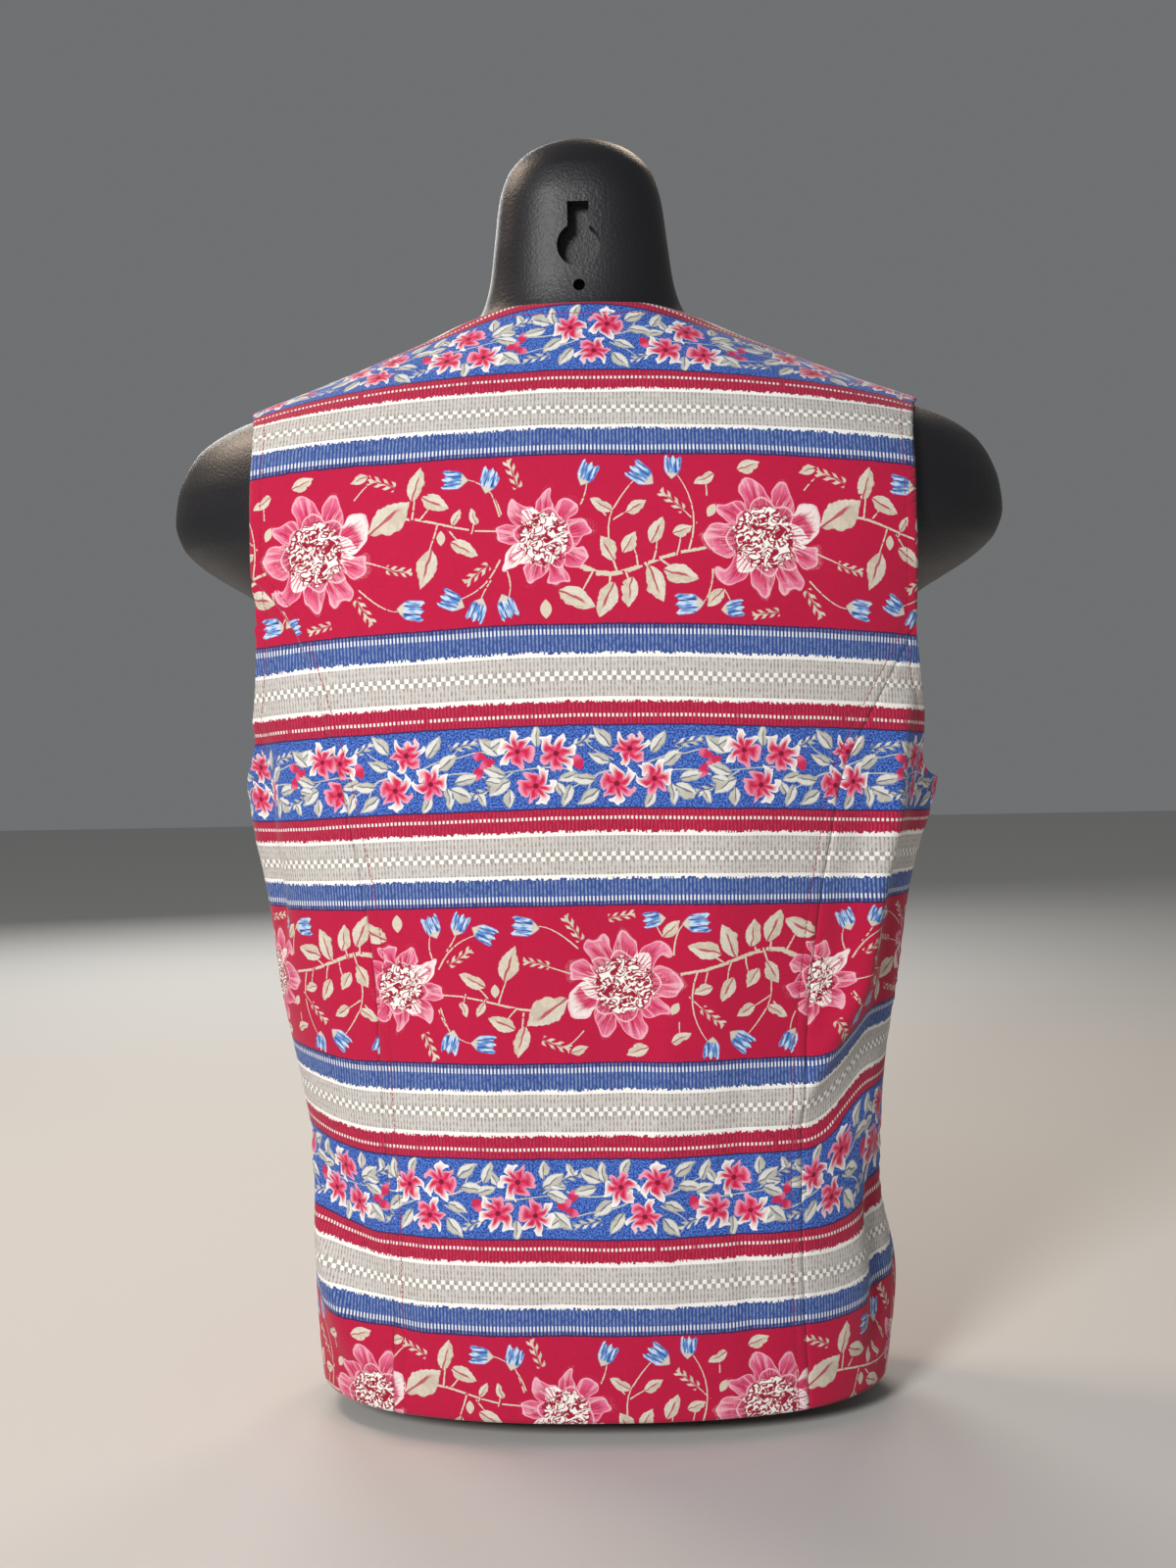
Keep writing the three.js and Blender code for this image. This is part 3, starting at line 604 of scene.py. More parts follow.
RED_FLOWERS = [
    (0, 1.0, 33.5, 12, BIG),
    (121, 0.5, 27.5, 40, MEDIUM),
]
RED_LEAVES = [
    (41, 15, 13.5, 34, LEAF),
    (55, 31, 9.0, 76, LEAF),
    (65, 21, 8.0, -24, LEAF),
    (60, -12, 10.5, 252, LEAF),
    (80, -3, 8.0, -28, LEAF),
    (76, 13, 4.6, 62, LEAF),
    (85, 13, 4.6, 108, LEAF),
    (46, -12, 7.5, -12, SPRIG),
    (86, -16, 8.0, 214, SPRIG),
    (36, 33, 8.5, 160, SPRIG),
    (24, 36, 5.0, 200, LEAF),
    (26, -31, 8.5, -58, SPRIG),
    (105, 34, 8.5, 112, SPRIG),
    (137, -30, 10.5, -24, LEAF),
    (152, -31, 10.0, 246, LEAF),
    (164, -27, 8.0, 262, LEAF),
    (177, -23, 10.0, 292, LEAF),
    (153, -5, 7.5, 118, LEAF),
    (164, -2, 6.5, 58, LEAF),
    (178, 4, 7.5, 64, LEAF),
    (150, 17, 6.5, 150, LEAF),
    (168, 16, 6.0, 30, LEAF),
    (190, -18, 9.5, -14, LEAF),
    (191, 4, 5.5, 20, LEAF),
    (186, 19, 8.0, 140, SPRIG),
    (203, 30, 6.0, 206, LEAF),
    (207, -30, 6.5, 226, LEAF),
    (233, -37, 7.5, 190, SPRIG),
    (226, 37, 6.5, 20, LEAF),
    (75, 32, 7.8, 176, BELL),
    (93, 31, 7.8, 74, BELL),
    (51, -32, 8.4, -8, BELL),
    (73, -29, 7.8, 152, BELL),
    (86, -34, 7.4, 246, BELL),
    (101, -33, 7.6, -70, BELL),
    (143, 33, 7.6, 64, BELL),
    (171, 32, 8.4, 142, BELL),
    (187, 36, 7.0, 84, BELL),
    (194, -33, 8.4, 184, BELL),
    (216, -35, 6.8, 8, BELL),
    (121, -35, 5.0, -90, BUD),
    (68, 3, 3.8, 90, BUD),
    (206, 14, 3.8, 60, BUD),
]
VINES = [
    ((28, 8), (48, 24), (70, 4), (98, 5), 1.3),
    ((33, 11), (36, 13), (38, 14), (40, 15), 1.2),
    ((53, 14), (54, 20), (54, 24), (55, 28), 0.9),
    ((57, 13), (60, 16), (62, 19), (64, 21), 0.8),
    ((66, 9), (64, 2), (62, -2), (61, -6), 0.8),
    ((72, 7), (74, 4), (77, 1), (80, -2), 0.8),
    ((73, 7), (74, 9), (75, 11), (76, 13), 0.6),
    ((84, 5), (85, 8), (85, 10), (85, 13), 0.6),
    ((99, 14), (96, 24), (90, 30), (81, 32), 0.7),
    ((98, 13), (96, 20), (94, 24), (93, 27), 0.7),
    ((28, -6), (34, -8), (40, -10), (42, -11), 0.7),
    ((24, -20), (32, -28), (40, -33), (45, -32), 0.7),
    ((98, -10), (92, -22), (86, -25), (78, -28), 0.8),
    ((93, -20), (90, -24), (88, -28), (87, -31), 0.7),
    ((102, -16), (104, -22), (103, -26), (102, -29), 0.7),
    ((22, 26), (28, 33), (30, 34), (34, 34), 0.6),
    ((140, -14), (158, -26), (172, -8), (202, -5), 2.4),
    ((145, -17), (142, -22), (140, -26), (138, -29), 0.9),
    ((154, -18), (154, -22), (153, -26), (152, -30), 1.0),
    ((162, -17), (163, -20), (164, -23), (164, -26), 0.9),
    ((172, -13), (174, -16), (176, -19), (177, -22), 1.0),
    ((180, -11), (184, -14), (187, -16), (190, -18), 0.9),
    ((158, -18), (152, -2), (152, 10), (158, 18), 0.9),
    ((168, -14), (168, -8), (166, -4), (164, -2), 0.8),
    ((176, -11), (178, -6), (178, -2), (178, 2), 0.8),
    ((154, 8), (160, 12), (164, 14), (168, 16), 0.7),
    ((157, 16), (162, 24), (166, 28), (168, 30), 0.7),
    ((152, 12), (150, 14), (150, 16), (150, 17), 0.7),
    ((140, 18), (142, 22), (143, 26), (143, 29), 0.7),
    ((188, -8), (190, -2), (190, 2), (191, 4), 0.7),
    ((194, -6), (200, 10), (196, 22), (190, 31), 0.8),
    ((198, 8), (194, 12), (190, 16), (188, 18), 0.6),
    ((204, 22), (204, 26), (204, 28), (203, 30), 0.6),
    ((206, -16), (206, -22), (204, -30), (200, -33), 0.8),
    ((212, -26), (214, -29), (215, -32), (216, -34), 0.6),
]
print("red band:", len(RED_FLOWERS), "flowers,", len(RED_LEAVES), "leaves,", len(VINES), "vines")

# %% [markdown]
# ## Motifs of the blue band
# One repeat has two sprays of three star flowers, with small leaves and buds all round them.
# %% Blue band
BLUE_FLOWERS = [
    (-15.5, 6.5, 11.4, 104, STAR),
    (4.0, 9.0, 12.1, 70, STAR),
    (-3.0, -9.5, 11.7, -80, STAR),
    (35.0, -7.5, 11.9, -66, STAR),
    (55.0, -9.0, 11.0, -104, STAR),
    (46.0, 9.5, 11.7, 96, STAR),
]
BLUE_LEAVES = [
    (-32, 13, 7.6, 152, LEAF),
    (-35, 5, 7.0, 196, LEAF),
    (-25, -5, 7.0, 218, LEAF),
    (-34, -13, 8.4, 190, SPRIG),
    (-42, 15, 5.6, 118, LEAF),
    (-18, -13, 7.2, 238, LEAF),
    (-25, 15, 6.2, 96, LEAF),
    (19, 16, 7.2, 34, LEAF),
    (22, 6, 7.2, -6, LEAF),
    (13, -5, 6.4, -24, LEAF),
    (11, -16, 7.2, -48, LEAF),
    (30, 15, 6.6, 70, LEAF),
    (24, -3, 5.0, -70, BUD),
    (29, 5, 6.0, 20, LEAF),
    (21, -14, 7.6, 205, SPRIG),
    (65, 10, 7.4, 36, LEAF),
    (68, 1, 7.2, -20, LEAF),
    (60, 16, 5.6, 88, LEAF),
    (70, -12, 7.4, -42, LEAF),
    (33, 12, 5.0, 120, LEAF),
    (45, -17, 6.0, -90, LEAF),
    (-13, 18, 5.4, 60, LEAF),
    (-46, -3, 5.0, 30, BUD),
    (-42, -7, 4.4, -20, BUD),
    (-41, 2, 4.4, 70, BUD),
    (77, 13, 7.8, 18, SPRIG),
    (-50, 7, 5.6, 170, LEAF),
    (-51, -13, 6.4, 215, LEAF),
]
BLUE_VINES = [
    ((-44, 4), (-36, 0), (-28, 2), (-20, 2), 0.9),
    ((-48, -8), (-40, -12), (-34, -6), (-24, -6), 0.8),
    ((6, 2), (14, 2), (20, 8), (30, 12), 0.9),
    ((14, 4), (18, 8), (19, 12), (20, 15), 0.8),
    ((26, 2), (36, -2), (44, 0), (64, 2), 0.8),
    ((58, 2), (64, 6), (68, 10), (74, 13), 0.8),
    ((-12, -2), (-20, -6), (-26, -6), (-32, -12), 0.7),
    ((6, -4), (12, -8), (16, -8), (20, -14), 0.7),
    ((60, -8), (66, -8), (70, -10), (74, -14), 0.7),
]
print("blue band:", len(BLUE_FLOWERS), "flowers,", len(BLUE_LEAVES), "leaves,", len(BLUE_VINES), "vines")

# %% [markdown]
# ## Motifs round the vest
# Both repeats are set down again and again over the height and all the way round. Every second
# band is turned half round, and its start is shifted along the stripes.
# %% Motif layers
def turned(rows):
    """The same motifs, turned half round."""
    return [(-x, -y, size, degrees + 180, kind) for x, y, size, degrees, kind in rows]


def with_seeds(rows):
    """Each row's kind gets a fraction of its own, so that no two motifs of a repeat are quite alike."""
    chance = random.Random(31)
    return [(x, y, size, degrees, kind + chance.uniform(0.0, 0.4)) for x, y, size, degrees, kind in rows]


def as_bars(vines):
    """Each vine is a soft curve, cut into short straight bars that taper towards its tip."""
    bars = []
    for a, b, c, d, thick in vines:
        last = a
        for i in range(1, 8):
            t = i / 7
            s = 1 - t
            here = [s**3 * a[k] + 3 * s * s * t * b[k] + 3 * s * t * t * c[k] + t**3 * d[k] for k in (0, 1)]
            length = math.dist(last, here)
            angle = math.degrees(math.atan2(here[1] - last[1], here[0] - last[0]))
            centre = [(last[k] + here[k]) / 2 for k in (0, 1)]
            bars.append((centre[0], centre[1], length / 2, angle, thick * (1 - 0.5 * t)))
            last = here
    return bars


def spread(red_rows, blue_rows):
    """Every motif of the fabric round the whole vest."""
    placed = []
    for band in range(-1, 4):
        middle = RED_MIDDLE - band * 2 * HALF_REPEAT
        rows = red_rows if band % 2 == 0 else turned(red_rows)
        start = -139 if band % 2 == 0 else 17
        for repeat in range(-4, 5):
            for x, y, size, degrees, kind in rows:
                placed.append((start + repeat * RED_REPEAT_X + x, middle + y, size, degrees, kind))
    for band in range(0, 3):
        middle = RED_MIDDLE + HALF_REPEAT - band * 2 * HALF_REPEAT
        rows = turned(blue_rows) if band % 2 else blue_rows
        for repeat in range(-7, 8):
            for x, y, size, degrees, kind in rows:
                placed.append((11 + 9 * band + repeat * BLUE_REPEAT_X + x, middle + y, size, degrees, kind))
    return np.array(placed, dtype=float)


FLOWER_LAYER = spread(with_seeds(RED_FLOWERS), with_seeds(BLUE_FLOWERS))
LEAF_LAYER = spread(with_seeds(RED_LEAVES), with_seeds(BLUE_LEAVES))
VINE_LAYER = spread(as_bars(VINES), as_bars(BLUE_VINES))
print("each motif has", ", ".join(MOTIF_COLUMNS))
print(len(FLOWER_LAYER), "flowers,", len(LEAF_LAYER), "leaves and bells,", len(VINE_LAYER), "bars of vine")

# %% [markdown]
# ## Laying the motifs on the mesh
# A face belongs to the motif nearest to it in each layer. Its corners keep their place in that motif's
# own frame, from -1 to 1, so the shader draws each kind of motif once, sharp at any size.
# %% Motif coordinates
SEARCH = 75  # no motif reaches further up or down than this


def in_frame(rows, dx, dy):
    """Offsets from motifs, turned into their own frames."""
    angle = np.radians(rows[:, 3])
    along = dx * np.cos(angle) + dy * np.sin(angle)
    across = -dx * np.sin(angle) + dy * np.cos(angle)
    return along, across


def motif_coordinates(layer, corner_flat, face_flat, face_of_corner, squash):
    """Place of each face corner in the frame of its face's nearest motif, with the motif's kind."""
    nearest = np.empty(len(face_flat), dtype=int)
    order = np.argsort(face_flat[:, 1])
    for part in np.array_split(order, max(1, len(order) // 400)):
        if not len(part):
            continue
        low = face_flat[part, 1].min() - SEARCH
        high = face_flat[part, 1].max() + SEARCH
        near = np.nonzero((layer[:, 1] > low) & (layer[:, 1] < high))[0]
        rows = layer[near]
        dx = face_flat[part, None, 0] - rows[None, :, 0]
        dy = face_flat[part, None, 1] - rows[None, :, 1]
        along, across = in_frame(rows, dx, dy)
        if squash == "bar":
            past = np.clip(np.abs(along) - rows[:, 2], 0, None)
            distance = np.hypot(past, across)
        else:
            distance = np.hypot(along, across * squash) / rows[:, 2]
        nearest[part] = near[np.argmin(distance, axis=1)]
    mine = layer[nearest[face_of_corner]]
    along, across = in_frame(mine, corner_flat[:, 0] - mine[:, 0], corner_flat[:, 1] - mine[:, 1])
    if squash == "bar":
        return np.stack([along / mine[:, 2], across / mine[:, 4], mine[:, 2]], axis=1)
    return np.stack([along / mine[:, 2], across / mine[:, 2], mine[:, 4]], axis=1)


print("motifs are looked for up to", SEARCH, "mm away")

# %% [markdown]
# ## Building a panel
# A panel is a wall over a grid of rows and columns. Columns that pass the armhole or the shoulder are
# cut off at the edge and share its points.
# %% Panel grids
def add_object(name, data):
    obj = bpy.data.objects.new(name, data)
    scene.collection.objects.link(obj)
    return obj


SEAM_PULL = 0.75  # a sewn edge lies in by this much
SEAM_PUCKER = 0.34  # and ripples by this much beside it
STITCH_PULL = 0.28  # a line of topstitching lies in
EDGE_SWELL = 0.22  # and the turned edge beside it stands out


def spaced(columns):
    """Column places from 0 to 1, a little closer together at both edges."""
    even = np.linspace(0, 1, columns + 1)
    return 0.8 * even + 0.2 * (0.5 - 0.5 * np.cos(np.pi * even))


def cloth_grid(rows, columns, edges, guides):
    first = edges[0](rows)
    last = edges[1](rows)
    start = guides[0](rows)
    end = guides[1](rows)
    turn = start[:, None] + (end - start)[:, None] * spaced(columns)[None, :]
    step = (end - start)[:, None] / columns
    turn = np.where(turn < first[:, None] + 0.3 * step, first[:, None], turn)
    turn = np.where(turn > last[:, None] - 0.3 * step, last[:, None], turn)
    turn[:, 0] = first
    turn[:, -1] = last
    return turn


print("grids are cut at the armholes")

# %% [markdown]
# ## Measuring from the edges
# Topstitching needs the distance to the nearest stitched edge and the length along it. Seams need
# the same from theirs.
# %% Edge distances
def edge_walk(points, picks):
    """Points and walked lengths along a chain of grid points, about one per millimetre."""
    chain = np.array([points[j, i] for j, i in picks])
    step = np.linalg.norm(np.diff(chain, axis=0), axis=1)
    walked = np.concatenate([[0], np.cumsum(step)])
    fine = np.linspace(0, walked[-1], max(2, int(walked[-1])))
    place = np.stack([np.interp(fine, walked, chain[:, k]) for k in range(3)], axis=1)
    return place, fine


def measure(points, chains):
    """Distance from each point to the nearest of the chains, and the length walked along it."""
    flat = points.reshape(-1, 3)
    best = np.full(len(flat), 999.0)
    walk = np.zeros(len(flat))
    for picks in chains:
        place, along = edge_walk(points, picks)
        for part in np.array_split(np.arange(len(flat)), 40):
            gap = np.linalg.norm(flat[part, None, :] - place[None, :, :], axis=2)
            nearest = gap.argmin(axis=1)
            found = gap[np.arange(len(part)), nearest]
            closer = found < best[part]
            best[part[closer]] = found[closer]
            walk[part[closer]] = along[nearest[closer]]
    return best, walk


print("chains are measured at about every millimetre")

# %% [markdown]
# ## Closed walls
# The outer and the inner grid are joined round the rim. Corners that fall together are merged.
# %% Walls
def wall_faces(rows, columns, same):
    """Faces of the closed wall, with the corners that fall together left out."""
    count = rows * columns
    outer = same
    inner = same + count
    quads = []
    for j in range(rows - 1):
        for i in range(columns - 1):
            a, b, c, d = (j, i), (j, i + 1), (j + 1, i + 1), (j + 1, i)
            quads.append((outer[a], outer[b], outer[c], outer[d]))
            quads.append((inner[a], inner[d], inner[c], inner[b]))
    for i in range(columns - 1):
        for j, a, b in ((0, i, i + 1), (rows - 1, i + 1, i)):
            quads.append((outer[j, b], outer[j, a], inner[j, a], inner[j, b]))
    for j in range(rows - 1):
        for i, a, b in ((0, j + 1, j), (columns - 1, j, j + 1)):
            quads.append((outer[b, i], outer[a, i], inner[a, i], inner[b, i]))
    faces = []
    for quad in quads:
        face = [v for k, v in enumerate(quad) if v != quad[k - 1]]
        if len(face) > 2 and len(set(face)) == len(face):
            faces.append(face)
    return faces


print("walls are", WALL, "mm thick")

# %% [markdown]
# ## From grid to panel
# The seams are drawn in, the wall is made, and the print's coordinates, the stitch line and the
# motif frames are stored on the mesh for the shader.
# %% Panels
def sewn_relief(point, stitch, seams):
    """How far the sewing draws the cloth in, or lets it swell, in millimetres."""
    relief = np.zeros(stitch.shape)
    for picks in seams:
        gap, along = measure(point, [picks])
        gap = gap.reshape(relief.shape)
        along = along.reshape(relief.shape)
        relief -= SEAM_PULL * np.exp(-((gap / 1.6) ** 2))
        pucker = np.sin(along * 0.55 + 2.2 * np.sin(along * 0.11)) * np.sin(along * 0.031 + 1)
        relief += SEAM_PUCKER * pucker * np.exp(-(((gap - 3) / 6) ** 2))
    relief -= STITCH_PULL * np.exp(-(((stitch - STITCH_IN) / 1.3) ** 2))
    relief += EDGE_SWELL * np.exp(-(((stitch - 3.0) / 2.2) ** 2))
    return relief


def wall_mesh(name, point, normal, turn):
    """The closed wall as a mesh, and which points of its two grids are used in it."""
    same = np.arange(turn.size).reshape(turn.shape)
    for i in range(1, turn.shape[1]):
        stuck = turn[:, i] == turn[:, i - 1]
        same[stuck, i] = same[stuck, i - 1]
    outside = (point + normal * WALL / 2).reshape(-1, 3)
    inside = (point - normal * WALL / 2).reshape(-1, 3)
    vertices = np.vstack([outside, inside]) * MM
    faces = wall_faces(turn.shape[0], turn.shape[1], same)
    used = np.unique(np.concatenate([np.array(face) for face in faces]))
    renumber = np.full(len(vertices), -1)
    renumber[used] = np.arange(len(used))
    faces = [[int(renumber[k]) for k in face] for face in faces]
    mesh = bpy.data.meshes.new(name)
    mesh.from_pydata(vertices[used].tolist(), [], faces)
    mesh.update()
    for polygon in mesh.polygons:
        polygon.use_smooth = True
    return mesh, used


def build_panel(name, rows, columns, edges, guides, chains, lift_at=no_lift, sewn=(), x_shift=0.0):
    """One panel with its sewing and print. Gives the object, its area and its flat width and height."""
    turn = cloth_grid(rows, columns, edges, guides)
    height = np.repeat(rows[:, None], columns + 1, axis=1)
    point = cloth_point(turn, height, lift_at(turn))
    normal = cloth_normal(turn, height, lift_at)
    stitch, walk = measure(point, [chain(rows, columns) for chain in chains])
    seams = [edge(rows, columns) for edge in sewn]
    relief = sewn_relief(point, stitch.reshape(turn.shape), seams)
    point = point + relief[..., None] * normal
    mesh, used = wall_mesh(name, point, normal, turn)
    x, v = cloth_flat(turn, point[..., 2], x_shift)
    flat = np.stack([x.ravel(), v.ravel()], axis=1)
    is_inside = np.repeat([0.0, 1.0], turn.size)
    sewing = np.column_stack([np.tile(stitch, 2), np.tile(walk, 2), is_inside])
    dress(mesh, np.tile(flat, (2, 1))[used], sewing[used])
    area = outer_area(point)
    print(name, len(mesh.vertices), "points", round(area / 1e6, 4), "square metres")
    return add_object(name, mesh), area, float(np.ptp(x)), float(np.ptp(v))


def outer_area(point):
    a = point[1:, 1:] - point[:-1, :-1]
    b = point[1:, :-1] - point[:-1, 1:]
    return float(np.linalg.norm(np.cross(a, b), axis=-1).sum() / 2)


def dress(mesh, flat, sewing):
    """Stores the cloth's coordinates, the stitch line and the motif frames on the mesh."""
    corners = len(mesh.loops)
    vertex = np.empty(corners, dtype=int)
    mesh.loops.foreach_get("vertex_index", vertex)
    totals = np.empty(len(mesh.polygons), dtype=int)
    mesh.polygons.foreach_get("loop_total", totals)
    face_of_corner = np.repeat(np.arange(len(totals)), totals)
    corner_flat = flat[vertex]
    face_flat = np.zeros((len(totals), 2))
    np.add.at(face_flat, face_of_corner, corner_flat)
    face_flat /= totals[:, None]
    uv = mesh.uv_layers.new(name="cloth")
    uv.data.foreach_set("uv", (corner_flat * MM).astype(np.float32).ravel())
    layers = (("flower", FLOWER_LAYER, 1.0), ("leaf", LEAF_LAYER, 1.6), ("vine", VINE_LAYER, "bar"))
    for name, layer, squash in layers:
        values = motif_coordinates(layer, corner_flat, face_flat, face_of_corner, squash)
        attribute = mesh.attributes.new(name, "FLOAT_VECTOR", "CORNER")
        attribute.data.foreach_set("vector", values.astype(np.float32).ravel())
    attribute = mesh.attributes.new("sewing", "FLOAT_VECTOR", "POINT")
    attribute.data.foreach_set("vector", sewing.astype(np.float32).ravel())


print("panels carry a UV map and four attributes")

# %% [markdown]
# ## The five panels
# The centre back is one piece with both shoulders. The side backs fit between the princess seams and
# the side seams. Each front has its slanting neckline and laps over the middle, the right one on top.
# Topstitching runs down both sides of the centre back, round the armholes and the neck, and down the
# front edges.
# %% Chains of edge points
def side_edge(low, high, last):
    """The grid points of the first or last column between two heights."""

    def chain(rows, columns):
        return [(j, columns * last) for j in range(len(rows)) if low <= rows[j] <= high]

    return chain


def left_edge(low, high):
    return side_edge(low, high, 0)


def right_edge(low, high):
    return side_edge(low, high, 1)


def top_edge(rows, columns):
    return [(len(rows) - 1, i) for i in range(columns + 1)]


print("edges of a panel are chains of its grid points")

# %% [markdown]
# ## The back
# The centre back reaches from the hem to the neck and shoulder seams. A side back is the same grid on
# either hand, mirrored. The seams on both of its edges are drawn in and puckered.
# %% Back panels
PANELS = {}


def centre_edge(hand):
    return lambda z: back_centre_edge(z, hand)


def centre_guide(hand):
    def guide(z):
        edge = back_centre_edge(z, hand)
        return np.where(z < ARMHOLE_BEND_Z, edge, armhole_guide(z, edge, 1 - half_gap(z)))

    return guide


def negative(edge):
    return lambda z: -edge(z)


centre_rows = levels(NECK_Z)
PANELS["back_centre"] = build_panel(
    "cloth_back_centre",
    centre_rows,
    140,
    (negative(centre_edge("left")), centre_edge("right")),
    (negative(centre_guide("left")), centre_guide("right")),
    (left_edge(0, SHOULDER_Z - 1), right_edge(0, SHOULDER_Z - 1), top_edge),
    sewn=(
        left_edge(0, PRINCESS_TOP["left"]),
        right_edge(0, PRINCESS_TOP["right"]),
        left_edge(SHOULDER_Z, ALL_THE_WAY),
        right_edge(SHOULDER_Z, ALL_THE_WAY),
    ),
)
for hand in ("right", "left"):
    side_rows = levels(PRINCESS_TOP[hand] - 1.0)

    def inner(z, hand=hand):
        return back_side_inner(z, hand)

    def outer_guide(z):
        return armhole_guide(z, back_side_outer(z), 1 - half_gap(z))

    if hand == "right":
        edges = (inner, back_side_outer)
        guides = (inner, outer_guide)
        chains = (right_edge(UNDERARM_Z + 0.5, ALL_THE_WAY),)
        sewn = (left_edge(0, ALL_THE_WAY), right_edge(0, UNDERARM_Z))
        shift = 9.0
    else:
        edges = (negative(back_side_outer), negative(inner))
        guides = (negative(outer_guide), negative(inner))
        chains = (left_edge(UNDERARM_Z + 0.5, ALL_THE_WAY),)
        sewn = (right_edge(0, ALL_THE_WAY), left_edge(0, UNDERARM_Z))
        shift = -9.0
    PANELS["back_side_" + hand] = build_panel(
        "cloth_back_side_" + hand, side_rows, 46, edges, guides, chains, sewn=sewn, x_shift=shift
    )
print(len(PANELS), "back panels")

# %% [markdown]
# ## The fronts
# Both fronts are the same shape. The right one lies on top where they lap, and its print is shifted a
# little against the left one, as pieces cut one after the other are.
# %% Front panels
def front_guide(z):
    return armhole_guide(z, front_outer(z), 1 + half_gap(z, "front"))


front_rows = np.unique(np.append(levels(NECK_Z), V_POINT_Z))
front_rows = front_rows[np.append(True, np.diff(front_rows) > 0.3)]
PANELS["front_right"] = build_panel(
    "cloth_front_right",
    front_rows,
    84,
    (front_outer, front_inner),
    (front_guide, front_inner),
    (left_edge(UNDERARM_Z + 0.5, SHOULDER_Z - 1), right_edge(0, ALL_THE_WAY)),
    lift_at=lap_lift(1),
    sewn=(left_edge(0, UNDERARM_Z), left_edge(SHOULDER_Z, ALL_THE_WAY)),
)
PANELS["front_left"] = build_panel(
    "cloth_front_left",
    front_rows,
    84,
    (negative(front_inner), negative(front_outer)),
    (negative(front_inner), negative(front_guide)),
    (right_edge(UNDERARM_Z + 0.5, SHOULDER_Z - 1), left_edge(0, ALL_THE_WAY)),
    lift_at=lap_lift(-1),
    sewn=(right_edge(0, UNDERARM_Z), right_edge(SHOULDER_Z, ALL_THE_WAY)),
    x_shift=5.0,
)
print(len(PANELS), "panels")

# %% [markdown]
# ## The torso form
# The form is a fine skin over its own sections, closed by a flat base and a rounded crown.
# %% Form skin
SKIN_SIDES = 132
FORM_AXIS_Y = 20  # the base's rim is tucked in towards this
CROWN_Y = -28  # middle of the neck's top


def skin_rows():
    """Heights of the skin's rings, closer together round the base and above the chest."""
    rows = [0.0, 0.6, 1.4]
    rows += list(np.arange(3, 440, 6.0))
    rows += list(np.arange(440, 706, 2.2))
    return np.array(rows + [FORM[-1][0]])


def build_form():
    """A skin of rings with a rounded crown, closed at both ends round a middle point."""
    rows = skin_rows()
    count = SKIN_SIDES
    turns = -2 + 4 * np.arange(count) / count
    turn, z = np.meshgrid(turns, rows)
    x, y = form.at(turn, z)
    tuck = np.interp(z, (0, 0.6, 1.4, 3), (2.0, 0.8, 0.2, 0.0))
    length = np.hypot(x, y - FORM_AXIS_Y)
    x = x - tuck * x / length
    y = y - tuck * (y - FORM_AXIS_Y) / length
    vertices = np.stack([x, y, z], axis=-1).reshape(-1, 3)
    crown = []
    last = FORM[-1][0]
    for share in (0.8, 0.55, 0.28):
        top_x, top_y = form.at(turns, np.full(count, last))
        height = last + (FORM_TOP_Z - last) * (1 - share**2)
        ring_y = CROWN_Y + (top_y - CROWN_Y) * share
        crown.append(np.stack([top_x * share, ring_y, np.full(count, height)], axis=-1))
    middles = np.array([[0, 25, 0.0], [0, CROWN_Y, FORM_TOP_Z]])
    vertices = np.vstack([vertices] + crown + [middles])
    rings = len(rows) + len(crown)
    faces = []
    for j in range(rings - 1):
        for i in range(count):
            k = (i + 1) % count
            faces.append((j * count + i, j * count + k, (j + 1) * count + k, (j + 1) * count + i))
    base = rings * count
    for i in range(count):
        k = (i + 1) % count
        faces.append((base, k, i))
        faces.append((base + 1, (rings - 1) * count + i, (rings - 1) * count + k))
    mesh = bpy.data.meshes.new("form")
    mesh.from_pydata((vertices * MM).tolist(), [], faces)
    return add_object("form_skin", mesh)


print("form skin:", SKIN_SIDES, "sides")

# %% [markdown]
# ## The hanging slot
# The slot and the small screw dimple under it are cut in with two closed cutters. The buttons' holes
# are cut the same way later on.
# %% Hanging slot
def circle(x, z, radius, sides):
    angles = [2 * math.pi * i / sides for i in range(sides)]
    return [(x + radius * math.cos(a), z + radius * math.sin(a)) for a in angles]


def prism(name, outline, low_y, high_y, z):
    """A closed cutter: an outline in x and z, pushed from low_y to high_y."""
    count = len(outline)
    vertices = [(x * MM, low_y * MM, (h + z) * MM) for x, h in outline]
    vertices += [(x * MM, high_y * MM, (h + z) * MM) for x, h in outline]
    faces = [tuple(range(count)), tuple(reversed(range(count, 2 * count)))]
    for i in range(count):
        k = (i + 1) % count
        faces.append((i, i + count, k + count, k))
    mesh = bpy.data.meshes.new(name)
    mesh.from_pydata(vertices, [], faces)
    made = bmesh.new()
    made.from_mesh(mesh)
    bmesh.ops.recalc_face_normals(made, faces=made.faces)
    made.to_mesh(mesh)
    made.free()
    return add_object(name, mesh)


def slot_outline():
    """A keyhole: a straight slot above, open into a round mouth."""
    meet = math.asin(SLOT["half"] / SLOT["round"])
    top = SLOT["top"] - SLOT["z"]
    start = math.pi / 2 + meet
    sweep = 2 * math.pi - 2 * meet
    points = [(SLOT["half"], top), (-SLOT["half"], top)]
    for i in range(49):
        angle = start + sweep * i / 48
        points.append((SLOT["round"] * math.cos(angle), SLOT["round"] * math.sin(angle)))
    return points


